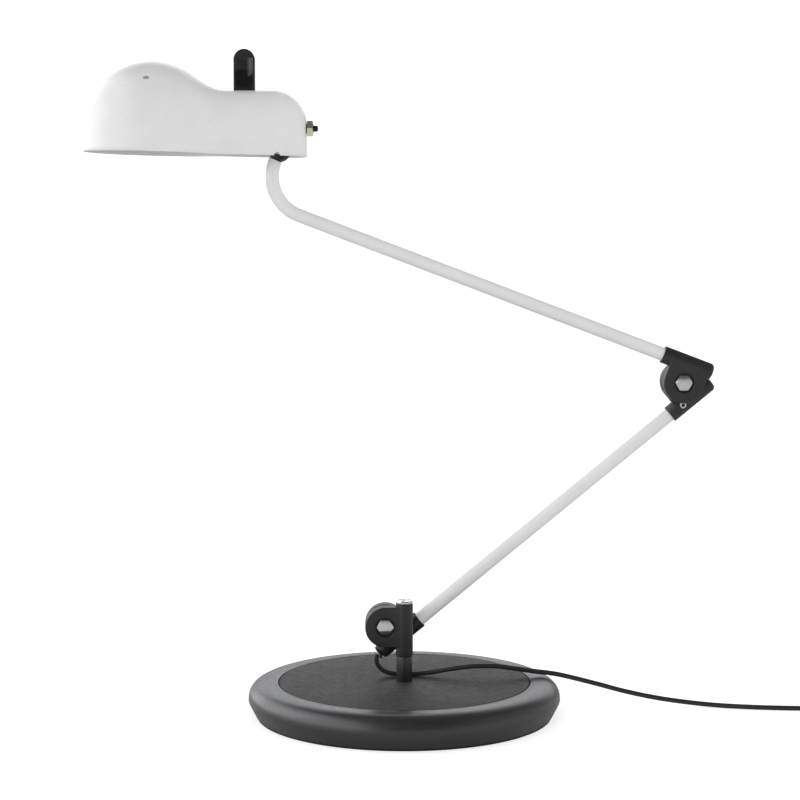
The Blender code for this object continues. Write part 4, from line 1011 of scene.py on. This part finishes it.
def make_fork():
    """Bent strip over the ball with a strap on top, and the screw up into the handle."""
    x, y, z = BALL_C.x, FORK_Y + 0.5 * FORK_T, FORK_TOP_Z - 0.5 * FORK_T
    legs = [(x, -y, FORK_LEG_LOW_Z), (x, -y, z), (x, y, z), (x, y, FORK_LEG_LOW_Z)]
    strap = [(STRAP_FRONT_X, 0.0, z), (STRAP_BACK_X, 0.0, z)]
    fork = carve(
        ribbon(legs, (1, 0, 0), FORK_W, FORK_T),
        drill(0.00156, -0.03, 0.03, Matrix.Translation(BALL_C) @ TO_Y),
        drill(STRAP_HOLE_R, 0.440, 0.456, HANDLE_AT),
        added=[ribbon(strap, (0, 1, 0), FORK_W, FORK_T)])
    piece("fork_strip", fork, "head_fork")
    spacer = ring_box(STRAP_HOLE_R, SPACER_R, FORK_TOP_Z + GAP, SPACER_TOP_Z)
    spacer = lathe(soften(spacer, 0.0003, closed=True), 48, closed=True)
    piece("spacer_ring", spacer, "fork_spacer", matrix=HANDLE_AT)
    neck_z = SCREW_LOW_Z + SCREW_HEAD_H
    screw = [(0.0, SCREW_LOW_Z), (SCREW_HEAD_R, SCREW_LOW_Z), (SCREW_HEAD_R, neck_z)]
    screw += [(SCREW_R, neck_z), (SCREW_R, SCREW_TOP_Z), (0.0, SCREW_TOP_Z)]
    socket = hexagon(0.0016, SCREW_LOW_Z - 0.0004, SCREW_LOW_Z + 0.0010, per_side=1)
    screw = carve(lathe(soften(screw, 0.0004), 40), socket)
    piece("pan_screw", screw, "handle_screw", matrix=HANDLE_AT)


# ---- lamp holder and bulb ----
def make_lamp():
    """Angle strip, grooved ceramic cup and round bulb, lying along -X."""
    z = HOLDER_TOP_Z - 0.5 * HOLDER_T
    bend = [(HOLDER_BACK_X, 0.0, z), (HOLDER_FRONT_X, 0.0, z), (HOLDER_FRONT_X, 0.0, HOLDER_LOW_Z)]
    angle_strip = carve(
        ribbon(bend, (0, 1, 0), FORK_W, HOLDER_T),
        drill(0.0019, 0.440, 0.452, HANDLE_AT))
    piece("holder_strip", angle_strip, "holder_bracket")
    at = Matrix.Translation((HOLDER_X, 0.0, LAMP_Z)) @ TO_FRONT
    holder = [(0.0, 0.0), (0.0105, 0.0), (0.0125, 0.0015), (0.0125, 0.0100), (HOLDER_R, 0.0105)]
    groove_r = HOLDER_R - 0.0005
    for k in range(4):
        groove = 0.0125 + 0.0030 * k
        holder += [(HOLDER_R, groove), (groove_r, groove + 0.0004)]
        holder += [(groove_r, groove + 0.0010), (HOLDER_R, groove + 0.0014)]
    holder += [(HOLDER_R, 0.0260), (0.0078, 0.0260), (0.0078, 0.0060), (0.0, 0.0060)]
    piece("holder_cup", lathe(soften(holder, 0.0003), 80), "lamp_holder", matrix=at)
    bulb = [(0.0, 0.0066), (0.0045, 0.0070), (0.0070, 0.0090), (0.0070, 0.0256), (0.0078, 0.0268)]
    bulb += [(0.0090, 0.0285), (0.0107, 0.0307), (0.0125, 0.0329)]
    neck = degrees(asin(-0.0158 / BULB_R))
    bulb += arc((0.0, BULB_REACH), BULB_R, neck, 90.0, 52)[1:-1] + [(0.0, BULB_REACH + BULB_R)]
    piece("bulb_glass", lathe(bulb, 96), "bulb", matrix=at, sharp=60.0)


# ---- push switch ----
def make_switch():
    """Threaded bushing through the back wall, its nut, and the button."""
    wall = BACK_C.x + BACK_R
    at = Matrix.Translation((0.0, 0.0, SWITCH_Z)) @ TO_X
    thread_r, pitch, well_r = 0.0037, 0.0008, 0.0026
    back, shelf, foot = wall - 0.0100, wall - 0.0026, wall - 0.0020
    body = [(0.0, back), (0.0058, back), (0.0058, shelf), (thread_r, shelf)]
    body += [(thread_r - 0.0002 * (k % 2), wall - 0.0018 + 0.5 * pitch * k) for k in range(16)]
    body += [(0.0035, wall + 0.0048), (well_r, wall + 0.0048), (well_r, foot), (0.0, foot)]
    piece("switch_bushing", lathe(body, 48), "switch_body", matrix=at)
    nut = hexagon(SWITCH_NUT_R, wall + GAP, wall + 0.0045, bore=0.0039)
    piece("switch_hex_nut", nut, "switch_nut", matrix=at, sharp=25.0)
    shoulder, crown = wall + 0.0074, 0.0009
    button = [(0.0, wall + 0.0012), (BUTTON_R, wall + 0.0012), (BUTTON_R, shoulder)]
    turns = [QUARTER * k / 8 for k in range(1, 8)]
    button += [(BUTTON_R * cos(a), shoulder + crown * sin(a)) for a in turns]
    button = lathe(button + [(0.0, shoulder + crown)], 40)
    piece("switch_push", button, "switch_button", matrix=at, sharp=50.0)


# ---- cord gland, tie and plug ----
def make_gland():
    """Steel ring in the lower bracket's tail, where the cord comes out."""
    bore, neck_r, deep = CORD_R + 0.0008, 0.0032, SLEEVE_TAIL - 0.0050
    ring = [(bore, deep), (neck_r, deep), (neck_r, SLEEVE_TAIL + GAP)]
    ring += [(GLAND_R, SLEEVE_TAIL + GAP), (GLAND_R, SLEEVE_TAIL + GLAND_H), (bore, SLEEVE_TAIL + GLAND_H)]
    bm = lathe(soften(ring, 0.0003, closed=True), 56, closed=True)
    piece("gland_ring", bm, "cord_gland", matrix=on_sleeve(foot_frame))


def rounded_square(angle, power):
    """Cosine and sine pushed out from the circle towards a square's corners."""
    c, s = cos(angle), sin(angle)
    fill = (abs(c) ** power + abs(s) ** power) ** (-1.0 / power)
    return c * fill, s * fill


def make_tie():
    """A strap pulled round the coil, with its little lock on the outside."""
    bm = bmesh.new()
    section = soften(ring_box(0.0, 0.0005, -0.0025, 0.0025), 0.0002, 2, closed=True)
    reach_out, reach_up = 0.0072, 0.0067
    rings = []
    for k in range(72):
        c, s = rounded_square(FULL * k / 72, 3.0)
        place = Vector((reach_out * c, reach_up * s))
        lean = place.normalized()
        outline = [(across, *(place + lean * rise)) for rise, across in section]
        rings.append([bm.verts.new(point) for point in outline])
    bridge(bm, rings, closed=True)
    lock_y = reach_out + 0.0004
    lock = ribbon([(0.0, lock_y, -0.0026), (0.0, lock_y, 0.0026)], (1, 0, 0), 0.0062, 0.0022)
    at = Matrix.Translation(COIL_C + Vector((0.0, COIL_R, 0.0)))
    return piece("coil_strap", join(bm, lock), "cord_tie", matrix=at)


def plug_shell():
    """Rounded-square sections along X, waisted at the cord, with shallow finger grips."""
    bm = bmesh.new()
    back, front, half_h, edge = -0.0170, 0.0180, 0.0068, 0.0014
    middle, square_to = 0.5 * (back + front), 0.0160
    widths = [(back, 0.0055), (-0.0120, 0.0060), (0.0120, 0.0150), (0.0165, 0.0160), (front, 0.0140)]
    xs, halves = zip(*widths)
    rings = []
    for k in range(61):
        x = back + (front - back) * (0.5 - 0.5 * cos(HALF * k / 60))
        past = max(0.0, abs(x - middle) - square_to) / 0.0016
        inset = edge * (1.0 - sqrt(1.0 - past ** 2))
        grip = 0.0003 * (0.5 - 0.5 * cos(x / 0.0026 * FULL)) if -0.0100 < x < 0.0056 else 0.0
        half_w = float(np.interp(x, xs, halves)) - inset - grip
        outline = [rounded_square(FULL * j / 56, 4.0) for j in range(56)]
        rings.append([bm.verts.new((x, half_w * c, (half_h - inset) * s)) for c, s in outline])
    bridge(bm, rings, caps=True)
    return bm


def plug_boot():
    """Ribbed sleeve where the cord enters the plug."""
    bore, length, rib = CORD_R + 0.0005, 0.0110, 0.0022
    outline = [(bore, -length)]
    for k in range(5):
        start = rib * k - length
        radius = 0.0028 + 0.0002 * k
        outline += [(radius, start), (radius + 0.0001, start + 0.0014)]
        outline += [(radius - 0.0005, start + 0.0015), (radius - 0.0005, start + 0.0021)]
    outline += [(0.0038, 0.0), (bore, 0.0)]
    return lathe(soften(outline, 0.0002, 2, closed=True), 40, closed=True)


def make_plug():
    centre = Matrix.Translation(PLUG_C)
    made = [piece("plug_shell", plug_shell(), "plug_body", matrix=centre, sharp=50.0)]
    pin_r, pin_l = 0.0020, 0.0190
    pin = [(0.0, 0.0), (pin_r, 0.0), (pin_r, pin_l - 0.0010), (0.5 * pin_r, pin_l), (0.0, pin_l)]
    for name, across in (("near", -0.0093), ("far", 0.0093)):
        at = centre @ Matrix.Translation((0.0183, across, 0.0)) @ TO_X
        bm = lathe(soften(pin, 0.0005, 4), 32)
        made.append(piece("round_pin_" + name, bm, "plug_pin_" + name, matrix=at))
    at = centre @ Matrix.Translation((-0.0173, 0.0, 0.0)) @ TO_X
    made.append(piece("plug_boot", plug_boot(), "plug_strain_relief", matrix=at))
    return made


make_base()
make_post()
make_brackets()
make_arms()
make_shade()
make_handle()
make_head_joint()
make_fork()
make_lamp()
make_switch()
make_gland()
plug_pieces = make_plug() + [make_tie()]


# ---- the frame's own nodes keep their shape and get the fine finishes ----
for row in frame["record"]["subparts"]:
    node = frame["nodes"].get(row["node"])
    if node is not None:
        for slot in node.material_slots:
            slot.material = FINISH[row["material_slot"]]


# ---- floor, light and surroundings ----
WHITE, COOL_WHITE, PAPER = (1.0, 1.0, 1.0, 1.0), (0.97, 0.98, 1.0, 1.0), (0.93, 0.93, 0.93, 1.0)


def make_floor():
    """Pale paper, lifted towards white for the camera only."""
    bm = bmesh.new()
    bmesh.ops.create_circle(bm, cap_ends=True, segments=96, radius=9.0)
    mesh = bpy.data.meshes.new("floor")
    bm.to_mesh(mesh)
    bm.free()
    paper = Finish("paper", Base_Color=PAPER, Roughness=0.9, Specular_IOR_Level=0.1, Emission_Color=WHITE)
    ray = add_node(paper.tree, "ShaderNodeLightPath")
    paper.feed(paper.spread(ray.outputs["Is Camera Ray"], 0.0, 0.60, 0.0, 1.0), "Emission Strength")
    mesh.materials.append(paper.mat)
    floor = bpy.data.objects.new("floor", mesh)
    SCENE.collection.objects.link(floor)


def softbox(name, place, target, width, height, power, mirrored=True):
    """An area light aimed at a point; `mirrored` lets gloss reflect its shape."""
    data = bpy.data.lights.new(name, "AREA")
    data.shape = "RECTANGLE"
    data.size = width
    data.size_y = height
    data.energy = power
    light = bpy.data.objects.new(name, data)
    light.location = place
    light.rotation_euler = (Vector(target) - Vector(place)).to_track_quat("-Z", "Y").to_euler()
    light.visible_glossy = mirrored
    SCENE.collection.objects.link(light)


def make_surroundings():
    """White paper to the eye, a fill that fades upwards, and a dim room in reflections."""
    world = bpy.data.worlds.new("studio")
    SCENE.world = world
    world.use_nodes = True
    tree = world.node_tree
    tree.nodes.remove(tree.nodes["Background"])

    def fade(value, start, end, low, high):
        node = add_node(tree, "ShaderNodeMapRange", Value=value,
                        From_Min=start, From_Max=end, To_Min=low, To_Max=high)
        node.interpolation_type = "SMOOTHSTEP"
        return node.outputs["Result"]

    def combine(operation, first, second):
        node = add_node(tree, "ShaderNodeMath", first, second)
        node.operation = operation
        return node.outputs["Value"]

    def glow(strength, color=WHITE):
        return add_node(tree, "ShaderNodeBackground", Color=color, Strength=strength).outputs["Background"]

    def choose(ray, no, yes):
        return add_node(tree, "ShaderNodeMixShader", ray, no, yes).outputs["Shader"]

    ray = add_node(tree, "ShaderNodeLightPath")
    coords = add_node(tree, "ShaderNodeTexCoord").outputs["Generated"]
    way = add_node(tree, "ShaderNodeSeparateXYZ", coords)
    x, y, z = (way.outputs[axis] for axis in "XYZ")
    fill = glow(fade(z, 0.0, 0.9, 1.32, 0.36))
    left = fade(x, -0.28, -0.60, 0.0, 2.0)
    right = fade(x, 0.50, 0.80, 0.0, 0.35)
    horizon = fade(z, 0.02, 0.20, 0.60, 0.12)
    behind = combine("MULTIPLY", fade(y, 0.65, 0.96, 0.0, 1.6), fade(z, 0.10, 0.24, 0.0, 1.0))
    sides = combine("ADD", left, right)
    room = glow(combine("ADD", sides, combine("ADD", horizon, behind)), COOL_WHITE)
    lit = choose(ray.outputs["Is Glossy Ray"], fill, room)
    seen = choose(ray.outputs["Is Camera Ray"], lit, glow(1.2))
    tree.links.new(seen, tree.nodes["World Output"].inputs["Surface"])


make_floor()
softbox("top_light", (0.05, -0.15, 1.7), (0.05, 0.0, 0.0), 1.8, 1.4, 1.1, mirrored=False)
softbox("left_light", (-1.2, 0.15, 0.62), (0.0, 0.0, 0.25), 0.8, 0.7, 1.8)
softbox("front_light", (0.9, -2.0, 1.0), (0.0, 0.0, 0.2), 1.0, 1.0, 2.5, mirrored=False)
make_surroundings()
SCENE.view_settings.view_transform = "Standard"
